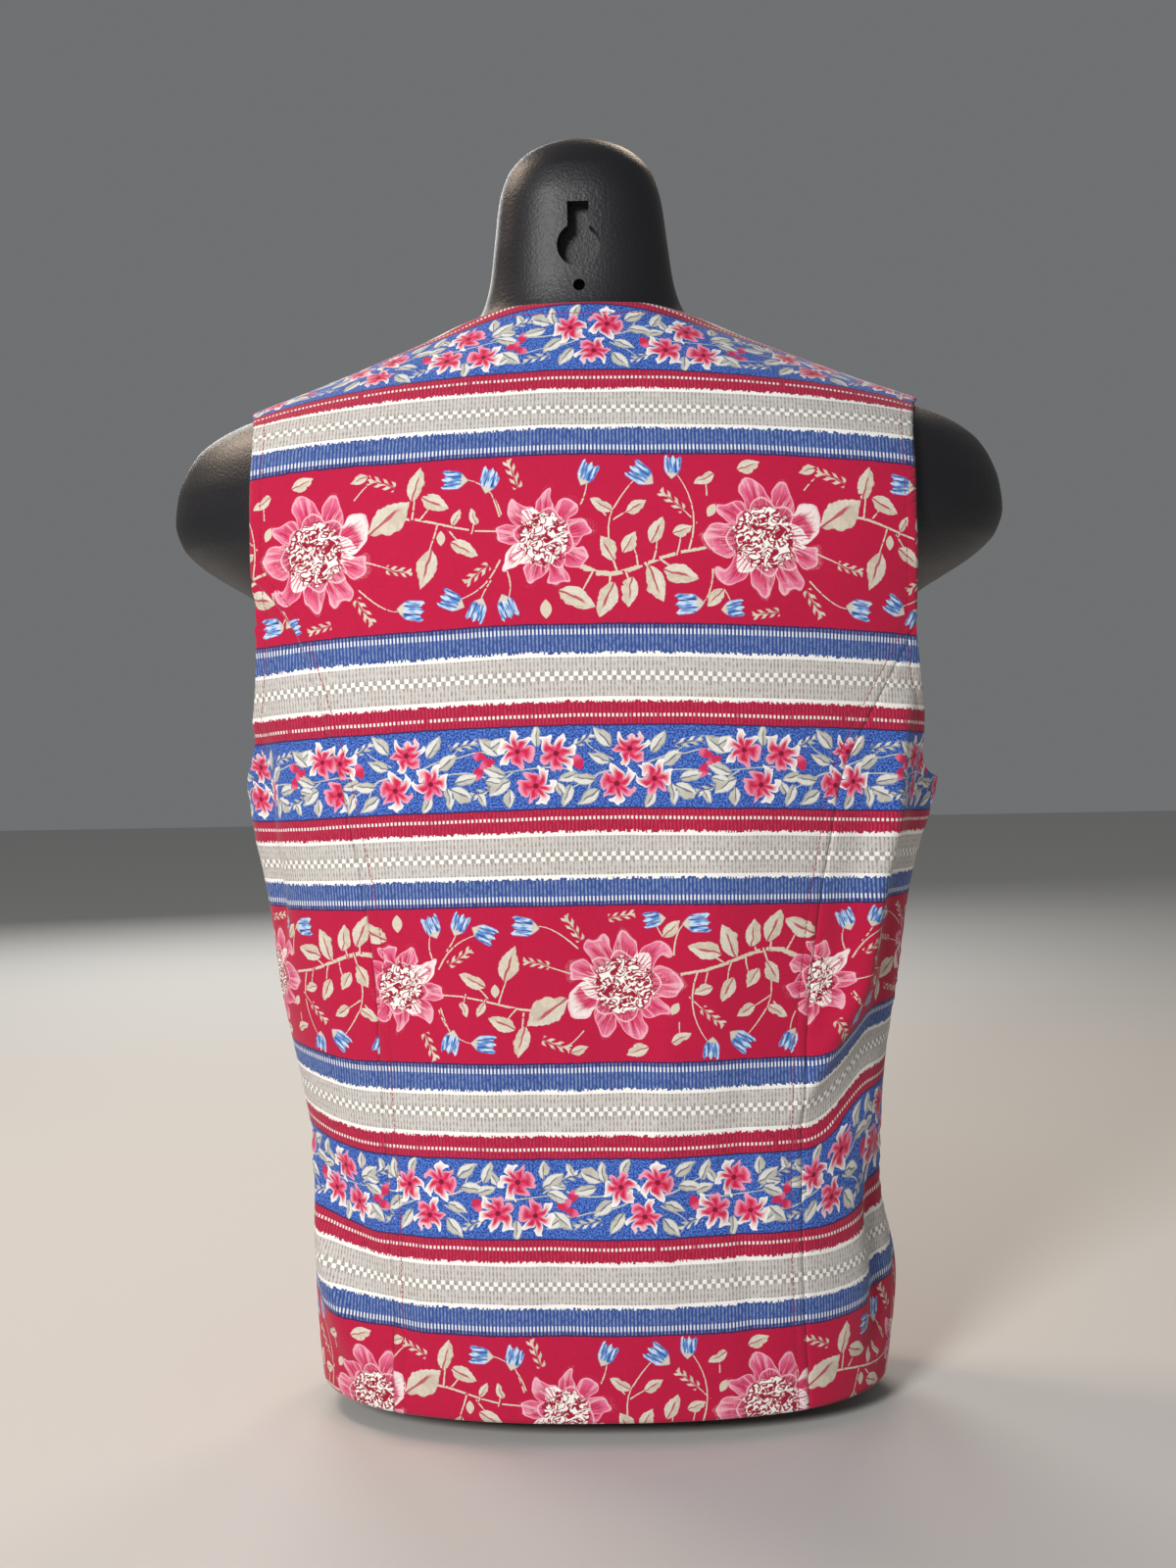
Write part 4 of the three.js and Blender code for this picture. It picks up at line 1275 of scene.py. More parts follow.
def cut_away(obj, cutters):
    for cutter in cutters:
        modifier = obj.modifiers.new(cutter.name, "BOOLEAN")
        modifier.operation = "DIFFERENCE"
        modifier.solver = "EXACT"
        modifier.object = cutter
    evaluated = obj.evaluated_get(bpy.context.evaluated_depsgraph_get())
    mesh = bpy.data.meshes.new_from_object(evaluated)
    obj.modifiers.clear()
    obj.data = mesh
    for cutter in cutters:
        bpy.data.objects.remove(cutter)
    for polygon in mesh.polygons:
        polygon.use_smooth = True
    mesh.set_sharp_from_angle(angle=math.radians(38))


form_skin = build_form()
dimple_outline = circle(0, 0, SLOT["dimple"], 24)
slot_floor = NECK_BACK_Y + SLOT["depth"]
slot_cutter = prism("slot", slot_outline(), -95, slot_floor, SLOT["z"])
dimple_cutter = prism("dimple", dimple_outline, -95, slot_floor, SLOT["dimple_z"])
cut_away(form_skin, [slot_cutter, dimple_cutter])
print("form:", len(form_skin.data.polygons), "faces")

# %% [markdown]
# ## Buttons
# Each button is turned from one profile: a flat back, a raised rim and a sunken middle with four holes,
# sewn down with two parallel stitches. It sits where the solid button of the same name is.
# %% Buttons
BUTTON_PROFILE = [
    (0.0, 0.0),
    (5.6, 0.0),
    (6.4, 0.25),
    (7.1, 0.8),
    (7.5, 1.4),
    (7.4, 2.1),
    (7.0, 2.6),
    (6.4, 2.8),
    (5.8, 2.7),
    (5.3, 2.3),
    (4.9, 1.95),
    (4.2, 1.9),
    (0.0, 1.9),
]
BUTTON_HOLE_R = 0.9
BUTTON_HOLE_OFF = 1.9


def button_mesh(name):
    made = bmesh.new()
    sides = 48
    rings = []
    for radius, height in BUTTON_PROFILE:
        if radius == 0:
            rings.append([made.verts.new((0, 0, height * MM))])
            continue
        outline = circle(0, 0, radius * MM, sides)
        rings.append([made.verts.new((x, y, height * MM)) for x, y in outline])
    for low, high in zip(rings, rings[1:]):
        for i in range(sides):
            k = (i + 1) % sides
            corners = [low[i % len(low)], low[k % len(low)], high[k % len(high)], high[i % len(high)]]
            face = [c for n, c in enumerate(corners) if c not in corners[:n]]
            made.faces.new(face)
    bmesh.ops.recalc_face_normals(made, faces=made.faces)
    mesh = bpy.data.meshes.new(name)
    made.to_mesh(mesh)
    made.free()
    return mesh


def place_on(node):
    """The pose of a solid button: its middle and the way it faces."""
    coords = np.array([v.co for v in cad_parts[node].data.vertices])
    middle = coords.mean(axis=0)
    spread_of = coords - middle
    _, _, axes = np.linalg.svd(spread_of, full_matrices=False)
    out = axes[2] if axes[2][1] > 0 else -axes[2]
    back = (spread_of @ out).min()
    return Vector(middle + out * back), Vector(out)


def build_button(node):
    obj = add_object("sewn_" + node, button_mesh(node))
    cutters = []
    for n, (across, along) in enumerate(((1, 1), (1, -1), (-1, 1), (-1, -1))):
        outline = circle(across * BUTTON_HOLE_OFF, along * BUTTON_HOLE_OFF, BUTTON_HOLE_R, 16)
        cutter = prism(node + "_hole_" + str(n), outline, -9, 9, 0)
        cutter.data.transform(Matrix.Rotation(math.radians(90), 4, "X"))
        cutters.append(cutter)
    cut_away(obj, cutters)
    seat, out = place_on(node)
    turn = out.to_track_quat("Z", "Y").to_matrix().to_4x4()
    obj.data.transform(Matrix.Translation(seat) @ turn)
    thread = bpy.data.meshes.new(node + "_thread")
    made = bmesh.new()
    for across in (-1, 1):
        stitch = bmesh.ops.create_cube(made, size=1.0)["verts"]
        bmesh.ops.scale(made, vec=(0.7 * MM, 2 * BUTTON_HOLE_OFF * MM, 0.5 * MM), verts=stitch)
        bmesh.ops.translate(made, vec=(across * BUTTON_HOLE_OFF * MM, 0, 2.1 * MM), verts=stitch)
    bmesh.ops.bevel(made, geom=made.edges[:], offset=0.18 * MM, segments=2, affect="EDGES")
    made.to_mesh(thread)
    made.free()
    thread.transform(Matrix.Translation(seat) @ turn)
    return obj, add_object(node + "_thread", thread)


BUTTONS = {"button_" + str(i): build_button("button_" + str(i)) for i in range(1, 6)}
print(len(BUTTONS), "buttons sewn on")

# %% [markdown]
# ## Shader helpers
# Each part of the print is a node group with named inputs and outputs. A group gives out only colours,
# masks and values; the surface shaders stay in the materials. Values from nodes can be added,
# multiplied and so on like numbers, and each such sum makes its maths nodes.
# %% Node helpers
class Value:
    """An output of a node. A sum of such values and numbers makes the maths nodes for it."""

    def __init__(self, graph, socket):
        self.graph = graph
        self.socket = socket

    def __add__(self, other):
        return self.graph.math("ADD", self, other)

    def __sub__(self, other):
        return self.graph.math("SUBTRACT", self, other)

    def __rsub__(self, other):
        return self.graph.math("SUBTRACT", other, self)

    def __mul__(self, other):
        return self.graph.math("MULTIPLY", self, other)

    def __truediv__(self, other):
        return self.graph.math("DIVIDE", self, other)

    def __pow__(self, other):
        return self.graph.math("POWER", self, other)

    def __abs__(self):
        return self.graph.math("ABSOLUTE", self)

    __radd__ = __add__
    __rmul__ = __mul__


class Graph:
    """Short ways to add nodes to one node tree."""

    def __init__(self, tree):
        self.tree = tree

    def node(self, kind, **settings):
        made = self.tree.nodes.new(kind)
        for key, value in settings.items():
            setattr(made, key, value)
        return made

    def out(self, node, name=0):
        return Value(self, node.outputs[name])

    def put(self, socket, value):
        if isinstance(value, Value):
            self.tree.links.new(value.socket, socket)
        elif value is not None:
            socket.default_value = value

    def math(self, operation, a, b=None):
        made = self.node("ShaderNodeMath", operation=operation)
        self.put(made.inputs[0], a)
        self.put(made.inputs[1], b)
        return self.out(made)

    def step(self, value, low, high):
        """0 below low, 1 above high, smooth between; or the other way round if low is above high."""
        made = self.node("ShaderNodeMapRange", interpolation_type="SMOOTHSTEP")
        self.put(made.inputs["Value"], value)
        if isinstance(low, (int, float)) and isinstance(high, (int, float)) and low > high:
            low, high = high, low
            made.inputs["To Min"].default_value = 1.0
            made.inputs["To Max"].default_value = 0.0
        self.put(made.inputs["From Min"], low)
        self.put(made.inputs["From Max"], high)
        return self.out(made, "Result")

    def between(self, value, low, high, soft):
        """1 between low and high, with soft sides."""
        up = self.step(value, low - soft, low + soft)
        down = self.step(value, high + soft, high - soft)
        return up * down

    def mix(self, factor, a, b):
        made = self.node("ShaderNodeMix", data_type="RGBA")
        self.put(made.inputs[0], factor)
        self.put(made.inputs[6], a)
        self.put(made.inputs[7], b)
        return self.out(made, 2)

    def blend(self, factor, a, b):
        made = self.node("ShaderNodeMix", data_type="FLOAT")
        self.put(made.inputs[0], factor)
        self.put(made.inputs[2], a)
        self.put(made.inputs[3], b)
        return self.out(made)

    def split(self, vector):
        made = self.node("ShaderNodeSeparateXYZ")
        self.put(made.inputs[0], vector)
        return self.out(made, 0), self.out(made, 1), self.out(made, 2)

    def join(self, x, y, z=0.0):
        made = self.node("ShaderNodeCombineXYZ")
        self.put(made.inputs[0], x)
        self.put(made.inputs[1], y)
        self.put(made.inputs[2], z)
        return self.out(made)

    def noise(self, vector, scale, detail=2.0, rough=0.5):
        made = self.node("ShaderNodeTexNoise")
        self.put(made.inputs["Vector"], vector)
        made.inputs["Scale"].default_value = scale
        made.inputs["Detail"].default_value = detail
        made.inputs["Roughness"].default_value = rough
        return self.out(made, "Fac")

    def attribute(self, name):
        return self.out(self.node("ShaderNodeAttribute", attribute_name=name), "Vector")


print("sums of node values are ready")

# %% [markdown]
# ## Node groups and colours
# Colours are written as they look on a screen, from 0 to 255, and turned into linear light.
# %% Groups and colours
def srgb(red, green, blue):
    def linear(value):
        value = value / 255
        return value / 12.92 if value <= 0.04045 else ((value + 0.055) / 1.055) ** 2.4

    return (linear(red), linear(green), linear(blue), 1.0)


def new_group(name, inputs, outputs):
    """A node group with named sockets. Each is a pair of name and kind."""
    tree = bpy.data.node_groups.new(name, "ShaderNodeTree")
    for socket, kind in inputs:
        tree.interface.new_socket(socket, in_out="INPUT", socket_type="NodeSocket" + kind)
    for socket, kind in outputs:
        tree.interface.new_socket(socket, in_out="OUTPUT", socket_type="NodeSocket" + kind)
    graph = Graph(tree)
    start = graph.node("NodeGroupInput")
    end = graph.node("NodeGroupOutput")
    given = {socket: graph.out(start, socket) for socket, kind in inputs}
    return graph, given, end.inputs


def use_group(graph, name, values):
    made = graph.node("ShaderNodeGroup")
    made.node_tree = bpy.data.node_groups[name]
    for socket, value in values.items():
        graph.put(made.inputs[socket], value)
    return {socket.name: Value(graph, socket) for socket in made.outputs}


CRIMSON = srgb(188, 18, 64)
STRIPE_RED = srgb(166, 22, 60)
DARK_LINE = srgb(62, 34, 84)
BLUE = srgb(84, 130, 216)
BLUE_SPECK = srgb(38, 62, 142)
RIB_BLUE = srgb(48, 76, 144)
RIB_DARK = srgb(42, 50, 118)
BEIGE = srgb(209, 206, 202)
CREAM = srgb(248, 247, 242)
PINK = srgb(226, 108, 146)
PALE_PINK = srgb(244, 198, 208)
LEAF_TONE = srgb(216, 204, 184)
LEAF_GREY = srgb(200, 200, 188)
BELL_BLUE = srgb(92, 148, 216)
BELL_DARK = srgb(28, 48, 112)
print("print colours ready")

# %% [markdown]
# ## Stripes of the ground
# The bands mirror about the middle of each red band, so one folded coordinate draws them all. The teeth
# where a stripe meets the white come from moving that coordinate by a different amount for each thread.
# %% Stripe group
STRIPES = [
    (0.0, CRIMSON),
    (42.4, DARK_LINE),
    (43.6, RIB_DARK),
    (45.4, RIB_BLUE),
    (57.7, CREAM),
    (59.9, BEIGE),
    (80.9, CREAM),
    (83.1, STRIPE_RED),
    (94.9, DARK_LINE),
    (95.9, BLUE),
]
THREAD = 0.71  # width of one tooth
RIB = 1.96  # from rib to rib, along the stripes
LINE = 3.3  # from line to line, across the beige stripe
THREAD_ROW = 58.0  # the teeth of a thread are the same over this length
CHECK = 2.45  # one square
CHECK_MIDDLE = 69.9
DASH = 2.2


def fold_bands(g, place, v):
    """Distance from the middle of the nearest red band, drifting slowly as real printing does."""
    period = 2 * HALF_REPEAT
    shifted = v + (-RED_MIDDLE + HALF_REPEAT + 10 * period)
    wrapped = g.math("MODULO", shifted, period)
    folded = abs(wrapped - HALF_REPEAT)
    slow = g.noise(place, 0.016) - 0.5
    return slow * 2.2 + folded


def toothed(g, x, row_of, folded):
    """The folded distance, moved by a random amount for each thread at the edges that are toothed."""
    column_of = g.math("FLOOR", x / THREAD)
    thread = g.node("ShaderNodeTexWhiteNoise", noise_dimensions="2D")
    g.put(thread.inputs["Vector"], g.join(column_of, row_of))
    clumps = g.noise(g.join(x, row_of), 0.3, 2.0) - 0.5
    tooth = clumps * 0.8 + (g.out(thread, "Value") - 0.5)
    white_edge = g.between(folded, 56.0, 59.0, 0.4) + g.between(folded, 81.8, 84.6, 0.4)
    dark_edge = g.between(folded, 41.5, 44.0, 0.4) + g.between(folded, 93.8, 97.0, 0.4)
    push = dark_edge * 0.5 + white_edge * 1.7
    return tooth * push + folded


def flat_stripes(g, distance):
    """Flat colours, each from its own distance on."""
    ramp = g.node("ShaderNodeValToRGB")
    ramp.color_ramp.interpolation = "CONSTANT"
    elements = ramp.color_ramp.elements
    while len(elements) < len(STRIPES):
        elements.new(0.5)
    for element, (start, colour) in zip(elements, STRIPES):
        element.position = start / HALF_REPEAT
        element.color = colour
    g.put(ramp.inputs[0], distance / HALF_REPEAT)
    return g.out(ramp)


print(len(STRIPES), "stripes to each half repeat")

# %% [markdown]
# ## Ribs, checks and dots
# The woven-look marks lie over the flat stripes. Ribs repeat along the stripes, checks in both ways.
# %% Marks on the stripes
def add_ribs(g, colour, x, v, wave, folded):
    """Broken ribs on the blue and red stripes, and ribs crossed by faint lines on the beige ones."""
    rib = g.step(wave, -0.5, 0.8)
    broken = g.noise(g.join(x, v * 0.35), 0.9, 2.0, 0.7)
    broken = g.step(broken, 0.3, 0.62)
    blue_rib = g.between(folded, 43.6, 57.4, 0.3) * (rib * broken)
    colour = g.mix(blue_rib * 0.6, colour, srgb(160, 180, 216))
    red_rib = g.between(folded, 83.2, 95.0, 0.3) * (rib * broken)
    colour = g.mix(red_rib * 0.55, colour, srgb(218, 70, 102))
    beige = g.between(folded, 60.1, 80.7, 0.2)
    lines = g.step(g.math("SINE", folded * (2 * math.pi / LINE)), -0.7, 0.2)
    beige_rib = beige * rib * (lines * 0.4 + 0.55)
    return g.mix(beige_rib * broken, colour, srgb(138, 124, 114))


def add_checks(g, colour, x, folded):
    """Two rows of squares along the middle of the beige stripe."""
    middle = folded - CHECK_MIDDLE
    cell = g.math("FLOOR", x / CHECK)
    row = g.math("FLOOR", middle / CHECK)
    parity = g.math("FLOORED_MODULO", cell + row, 2.0)
    check_band = g.between(middle, -CHECK, CHECK, 0.12)
    check = g.step(parity, 0.4, 0.6)
    colour = g.mix(check_band * 0.62, colour, srgb(146, 142, 132))
    return g.mix(check_band * check, colour, CREAM)


def add_dots(g, colour, x, row_of, wave, folded):
    """A row of cream dashes on the red stripe and one of cream dots on the blue stripe."""
    dash = g.step(g.math("FRACT", x / DASH), 0.42, 0.52)
    here = g.step(g.noise(g.join(x, row_of), 0.2, 1.0), 0.28, 0.42)
    red_dots = g.between(folded, 89.6, 91.3, 0.2) * (dash * here)
    blue_dots = g.between(folded, 45.6, 48.4, 0.3) * g.step(wave, 0.0, 0.3)
    colour = g.mix(red_dots * 0.9, colour, CREAM)
    return g.mix(blue_dots * 0.85, colour, CREAM)


def make_stripes():
    inputs = (("Along", "Float"), ("Across", "Float"))
    outputs = (("Color", "Color"), ("Red Ground", "Float"), ("Blue Ground", "Float"))
    g, given, result = new_group("Stripes", inputs, outputs)
    x = given["Along"]
    v = given["Across"]
    place = g.join(x, v)
    row_of = g.math("FLOOR", v / THREAD_ROW)
    wave = g.math("SINE", x * (2 * math.pi / RIB))
    folded = fold_bands(g, place, v)
    colour = flat_stripes(g, toothed(g, x, row_of, folded))
    blue_ground = g.step(folded, 95.5, 96.3)
    speckle = g.noise(place, 1.05, 1.0, 0.6)
    colour = g.mix(blue_ground * g.step(speckle, 0.44, 0.54), colour, BLUE_SPECK)
    colour = add_ribs(g, colour, x, v, wave, folded)
    colour = add_checks(g, colour, x, folded)
    g.put(result["Color"], add_dots(g, colour, x, row_of, wave, folded))
    g.put(result["Red Ground"], g.step(folded, 42.8, 42.2))
    g.put(result["Blue Ground"], blue_ground)


make_stripes()
print("stripes:", len(bpy.data.node_groups["Stripes"].nodes), "nodes")

# %% [markdown]
# ## Flowers
# A many-petalled flower has two rings of petals round a cream, crinkled heart. A star flower has six
# pointed petals with a dark rib in each. Both are drawn from the angle and distance to the middle.
# %% Flower parts
def polar(g, vector):
    x, y, kind = g.split(vector)
    radius = g.math("SQRT", x * x + y * y)
    return x, y, kind, radius, g.math("ARCTAN2", y, x)


def seeded(g, x, y, kind, stretch=1.0):
    """A place in the motif's own frame for noise, different for every seed."""
    return g.join(x, y * stretch, kind * 13.0)


def petals(g, angle, bend, kind, count, offset):
    """For each angle: 0 at a petal's axis to 1 between petals, and a number of the petal's own."""
    share = angle * (count / (2 * math.pi)) + (bend + (offset + count))
    across = abs((g.math("FRACT", share) - 0.5) * 2.0)
    which = g.math("FLOORED_MODULO", g.math("FLOOR", share), float(count))
    pick = g.node("ShaderNodeTexWhiteNoise", noise_dimensions="2D")
    g.put(pick.inputs["Vector"], g.join(which, kind * 7.0))
    return across, g.out(pick, "Value")


print("petals are counted round the flower")

# %% [markdown]
# ## The many-petalled flower
# Petals differ in length and tone by a number of their own. Pale rims part them, and fine dark
# hatching runs out from the heart.
# %% Many-petalled flower
def outer_petals(g, radius, angle, kind, slow, fine):
    """The outer ring: its colour, its mask, and the fine hatching towards the heart."""
    across, pick = petals(g, angle, slow * 1.1, kind, 9, 0.2)
    tip = 1.0 - across ** 1.75
    long = pick * 0.14 + 0.3
    reach = tip * long + 0.56 + slow * 0.1
    inside = reach - (radius + fine)
    outward = g.step(radius / reach, 0.6, 1.0)
    hatch = g.noise(g.join(angle * 15.0, radius * 2.2, kind), 1.5, 2.0)
    hatch = g.step(hatch, 0.5, 0.58) * g.step(outward, 0.95, 0.25)
    streak = g.step(g.noise(g.join(angle * 6.0, radius, kind), 1.4, 1.0), 0.5, 0.62)
    colour = g.mix(outward, srgb(212, 60, 104), PINK)
    colour = g.mix(streak * 0.55, colour, PALE_PINK)
    creamy = g.step(pick, 0.78, 0.8) * g.step(outward, 0.2, 0.6)
    colour = g.mix(creamy * 0.85, colour, CREAM)
    colour = g.mix(hatch * 0.75, colour, srgb(172, 18, 66))
    rim = g.step(inside, 0.055, 0.014)
    colour = g.mix(rim * 0.8, colour, PALE_PINK)
    colour = g.mix(g.step(across, 0.86, 0.95) * 0.5, colour, PALE_PINK)
    colour = g.mix(g.step(across, 0.955, 0.99) * 0.8, colour, srgb(166, 16, 60))
    return colour, g.step(inside, -0.008, 0.012), hatch


def inner_petals(g, radius, angle, kind, slow, fine, hatch):
    """The shorter ring on top, with a pale petal here and there."""
    across, pick = petals(g, angle, slow * 0.66, kind, 8, 0.65)
    tip = 1.0 - across ** 1.6
    reach = tip * (pick * 0.22 + 0.02) + 0.48
    inside = reach - (radius + fine)
    outward = g.step(radius / reach, 0.7, 1.0)
    colour = g.mix(outward, srgb(196, 40, 88), PINK)
    colour = g.mix(hatch * 0.7, colour, srgb(150, 14, 56))
    colour = g.mix(g.step(inside, 0.045, 0.01), colour, PALE_PINK)
    pale = g.mix(hatch, CREAM, srgb(214, 96, 130))
    return g.mix(g.step(pick, 0.66, 0.68), colour, pale), g.step(inside, -0.006, 0.01)


def crinkled_heart(g, x, y, kind, own, radius):
    """A ragged cream disc, crinkled and blotted with dark red."""
    ragged = (g.noise(own, 9.0, 1.0) - 0.5) * 0.3
    inside = ragged + 0.47 - radius
    squiggle = g.node("ShaderNodeTexNoise")
    g.put(squiggle.inputs["Vector"], seeded(g, x, y, kind, 1.25))
    squiggle.inputs["Scale"].default_value = 5.2
    squiggle.inputs["Detail"].default_value = 1.0
    squiggle.inputs["Distortion"].default_value = 1.8
    folded = abs(g.out(squiggle, "Fac") - 0.5)
    gap = g.step(folded, 0.098, 0.052)
    blot = g.step(g.noise(own, 10.0, 1.0), 0.64, 0.70)
    colour = g.mix(g.math("MAXIMUM", gap, blot), CREAM, srgb(158, 18, 50))
    colour = g.mix(g.step(inside, 0.03, 0.0), colour, srgb(170, 24, 60))
    return colour, g.step(inside, -0.006, 0.01)


def make_dahlia():
    inputs = (("Place", "Vector"),)
    outputs = (("Color", "Color"), ("Mask", "Float"))
    g, given, result = new_group("Many-petalled flower", inputs, outputs)
    x, y, kind, radius, angle = polar(g, given["Place"])
    own = seeded(g, x, y, kind)
    slow = g.noise(own, 2.2, 1.0) - 0.5
    fine = (g.noise(own, 6.0, 1.0, 0.5) - 0.5) * 0.05
    colour, mask, hatch = outer_petals(g, radius, angle, kind, slow, fine)
    upper_colour, upper = inner_petals(g, radius, angle, kind, slow, fine, hatch)
    heart_colour, heart = crinkled_heart(g, x, y, kind, own, radius)
    colour = g.mix(upper, colour, upper_colour)
    g.put(result["Color"], g.mix(heart, colour, heart_colour))
    g.put(result["Mask"], g.math("MAXIMUM", mask, heart))


make_dahlia()
print("many-petalled flower ready")

# %% [markdown]
# ## The star flower
# Its petals are bent by a slow noise, so that no two of them are quite alike.
# %% Star flower
def make_star():
    inputs = (("Place", "Vector"),)
    outputs = (("Color", "Color"), ("Mask", "Float"))
    g, given, result = new_group("Star flower", inputs, outputs)
    x, y, kind, radius, angle = polar(g, given["Place"])
    own = seeded(g, x, y, kind)
    slow = g.noise(own, 1.6, 1.0) - 0.5
    fine = (g.noise(own, 6.0, 2.0) - 0.5) * 0.14
    across, pick = petals(g, angle, slow * 1.9, kind, 6, 0.1)
    tip = 1.0 - across ** 1.9
    reach = tip * (pick * 0.34 + 0.34) + 0.4
    inside = reach - (radius + fine)
    mask = g.step(inside, -0.02, 0.03)
    outward = g.step(radius / reach, 0.42, 0.95)
    edge = g.mix(g.step(pick, 0.45, 0.5), srgb(240, 160, 184), CREAM)
    colour = g.mix(outward, srgb(224, 70, 112), edge)
    throat = g.step(across, 0.46, 0.16) * g.step(radius, 0.72, 0.42)
    colour = g.mix(throat, colour, srgb(206, 30, 72))
    hatch = g.noise(g.join(angle * 8.0, radius, kind), 1.5, 1.0)
    hatch = g.step(hatch, 0.52, 0.6) * g.step(radius, 0.8, 0.4)
    colour = g.mix(hatch * 0.45, colour, srgb(206, 40, 84))
    colour = g.mix(g.step(across, 0.88, 0.97) * 0.55, colour, srgb(186, 40, 90))
    colour = g.mix(g.step(radius, 0.16, 0.09), colour, srgb(132, 12, 44))
    g.put(result["Color"], colour)
    g.put(result["Mask"], mask)


make_star()
print("star flower ready")

# %% [markdown]
# ## Leaves, bells, buds and vines
# A leaf is a pointed, bent oval with a ragged rim, a dark midrib and mottled tone. A bell is a small
# tulip shape with a scalloped mouth. A sprig is a stem with slanted leaflets. A vine is a row of bars.
# %% Leaf shapes
def draw_leaf(g, x, y, own, fine, grey):
    """A pointed oval, bent and mottled, with one lighter side and a dark midrib."""
    slow = g.noise(own, 1.1, 1.0) - 0.5
    round_x = 1.0 - x * x
    bent_y = round_x * slow * 0.55 + y
    fat = x * -0.3 + (slow * 0.9 + 1.0)
    half = fine * 0.17 + round_x * fat * 0.5
    off = half - abs(bent_y)
    tone = g.mix(grey, LEAF_TONE, LEAF_GREY)
    mottle = g.step(g.noise(own, 3.2, 2.0, 0.6), 0.40, 0.62)
    tone = g.mix(mottle * 0.32, tone, srgb(166, 152, 136))
    light_side = g.step(bent_y, -0.02, 0.05)
    tone = g.mix(light_side * (grey * 0.35 + 0.2), tone, CREAM)
    rib = g.step(abs(bent_y), 0.07, 0.03) * g.step(x, 0.6, 0.2)
    dark = g.mix(grey, srgb(176, 26, 60), srgb(84, 92, 122))
    tone = g.mix(rib * 0.85, tone, dark)
    outline = g.step(off, 0.12, 0.04) * (grey * 0.6)
    tone = g.mix(outline, tone, srgb(112, 118, 136))
    return tone, g.step(off, -0.015, 0.03) * g.step(round_x, 0.0, 0.03)


def draw_bell(g, x, y, kind, fine):
    """A small tulip shape with a scalloped mouth, streaked in two blues."""
    teeth = abs(g.math("SINE", y * 6.2))
    mouth = teeth * -0.24 + 0.9
    base = g.step(x, -1.0, -0.15) ** 0.6
    half = x * 0.06 + base * 0.62
    off = fine * 0.1 + half - abs(y)
    mask = g.step(off, -0.02, 0.05) * g.step(mouth - x, -0.02, 0.04)
    mask = mask * g.step(x, -0.96, -0.86)
    streaks = g.noise(g.join(x * 0.8, y * 4.0, kind), 2.0, 1.0)
    colour = g.mix(g.step(streaks, 0.44, 0.58), BELL_BLUE, srgb(206, 222, 240))
    colour = g.mix(g.step(streaks, 0.42, 0.34) * 0.8, colour, srgb(38, 76, 156))
    petal_line = abs(abs(y) - 0.24)
    colour = g.mix(g.step(petal_line, 0.07, 0.03) * 0.7, colour, BELL_DARK)
    colour = g.mix(g.step(x, -0.34, -0.56), colour, LEAF_TONE)
    colour = g.mix(g.step(off, 0.1, 0.03) * 0.6, colour, srgb(70, 112, 190))
    return colour, mask


def draw_bud(g, x, y, grey):
    """A plain oval: pale on crimson, pink at its end on blue."""
    round_x = 1.0 - x * x
    off = round_x * 0.6 - abs(y)
    pink = g.mix(g.step(x, -0.1, 0.5), srgb(206, 40, 84), PINK)
    mask = g.step(off, -0.02, 0.05) * g.step(round_x, 0.0, 0.04)
    return g.mix(grey, LEAF_TONE, pink), mask


def draw_sprig(g, x, y):
    """A stem with slanted leaflets, staggered on its two sides."""
    side_y = abs(y)
    slanted = side_y * -1.1 + x
    staggered = g.step(y, -0.01, 0.01) * 0.18 + slanted
    beat = abs(g.math("FRACT", staggered * 1.7 + 0.3) - 0.5)
    long = x * x * -0.22 + 0.5
    leaflet = (1.0 - side_y / long) * 0.95 - beat
    leaflet = g.step(leaflet, 0.44, 0.52) * g.step(side_y, 0.5, 0.46)
    wide_part = g.step(0.26 - beat, 0.0, 0.08)
    leaflet = g.math("MAXIMUM", leaflet, wide_part * g.between(side_y, 0.02, 0.3, 0.05))
    stem = g.step(side_y, 0.07, 0.03)
    return g.math("MAXIMUM", leaflet, stem) * g.between(x, -0.95, 0.92, 0.04)


print("leaf, bell, bud and sprig shapes ready")

# %% [markdown]
# ## Groups of leaves and vines
# The kind of a motif, a number from 0 to 4, says which of the four shapes is shown.
# %% Leaf and vine groups
def make_leaf():
    inputs = (("Place", "Vector"), ("Grey", "Float"))
    outputs = (("Color", "Color"), ("Mask", "Float"))
    g, given, result = new_group("Leaf and bell", inputs, outputs)
    grey = given["Grey"]
    x, y, kind = g.split(given["Place"])
    own = seeded(g, x, y, kind)
    fine = g.noise(own, 5.0, 2.0) - 0.5
    leaf_colour, leaf = draw_leaf(g, x, y, own, fine, grey)
    bell_colour, bell = draw_bell(g, x, y, kind, fine)
    bud_colour, bud = draw_bud(g, x, y, grey)
    sprig = draw_sprig(g, x, y)
    is_bell = g.between(kind, 0.7, 1.7, 0.1)
    is_bud = g.between(kind, 1.7, 2.7, 0.1)
    is_sprig = g.step(kind, 2.6, 2.8)
    colour = g.mix(is_bell, leaf_colour, bell_colour)
    g.put(result["Color"], g.mix(is_bud, colour, bud_colour))
    mask = g.blend(is_bud, g.blend(is_bell, leaf, bell), bud)
    g.put(result["Mask"], g.blend(is_sprig, mask, sprig))


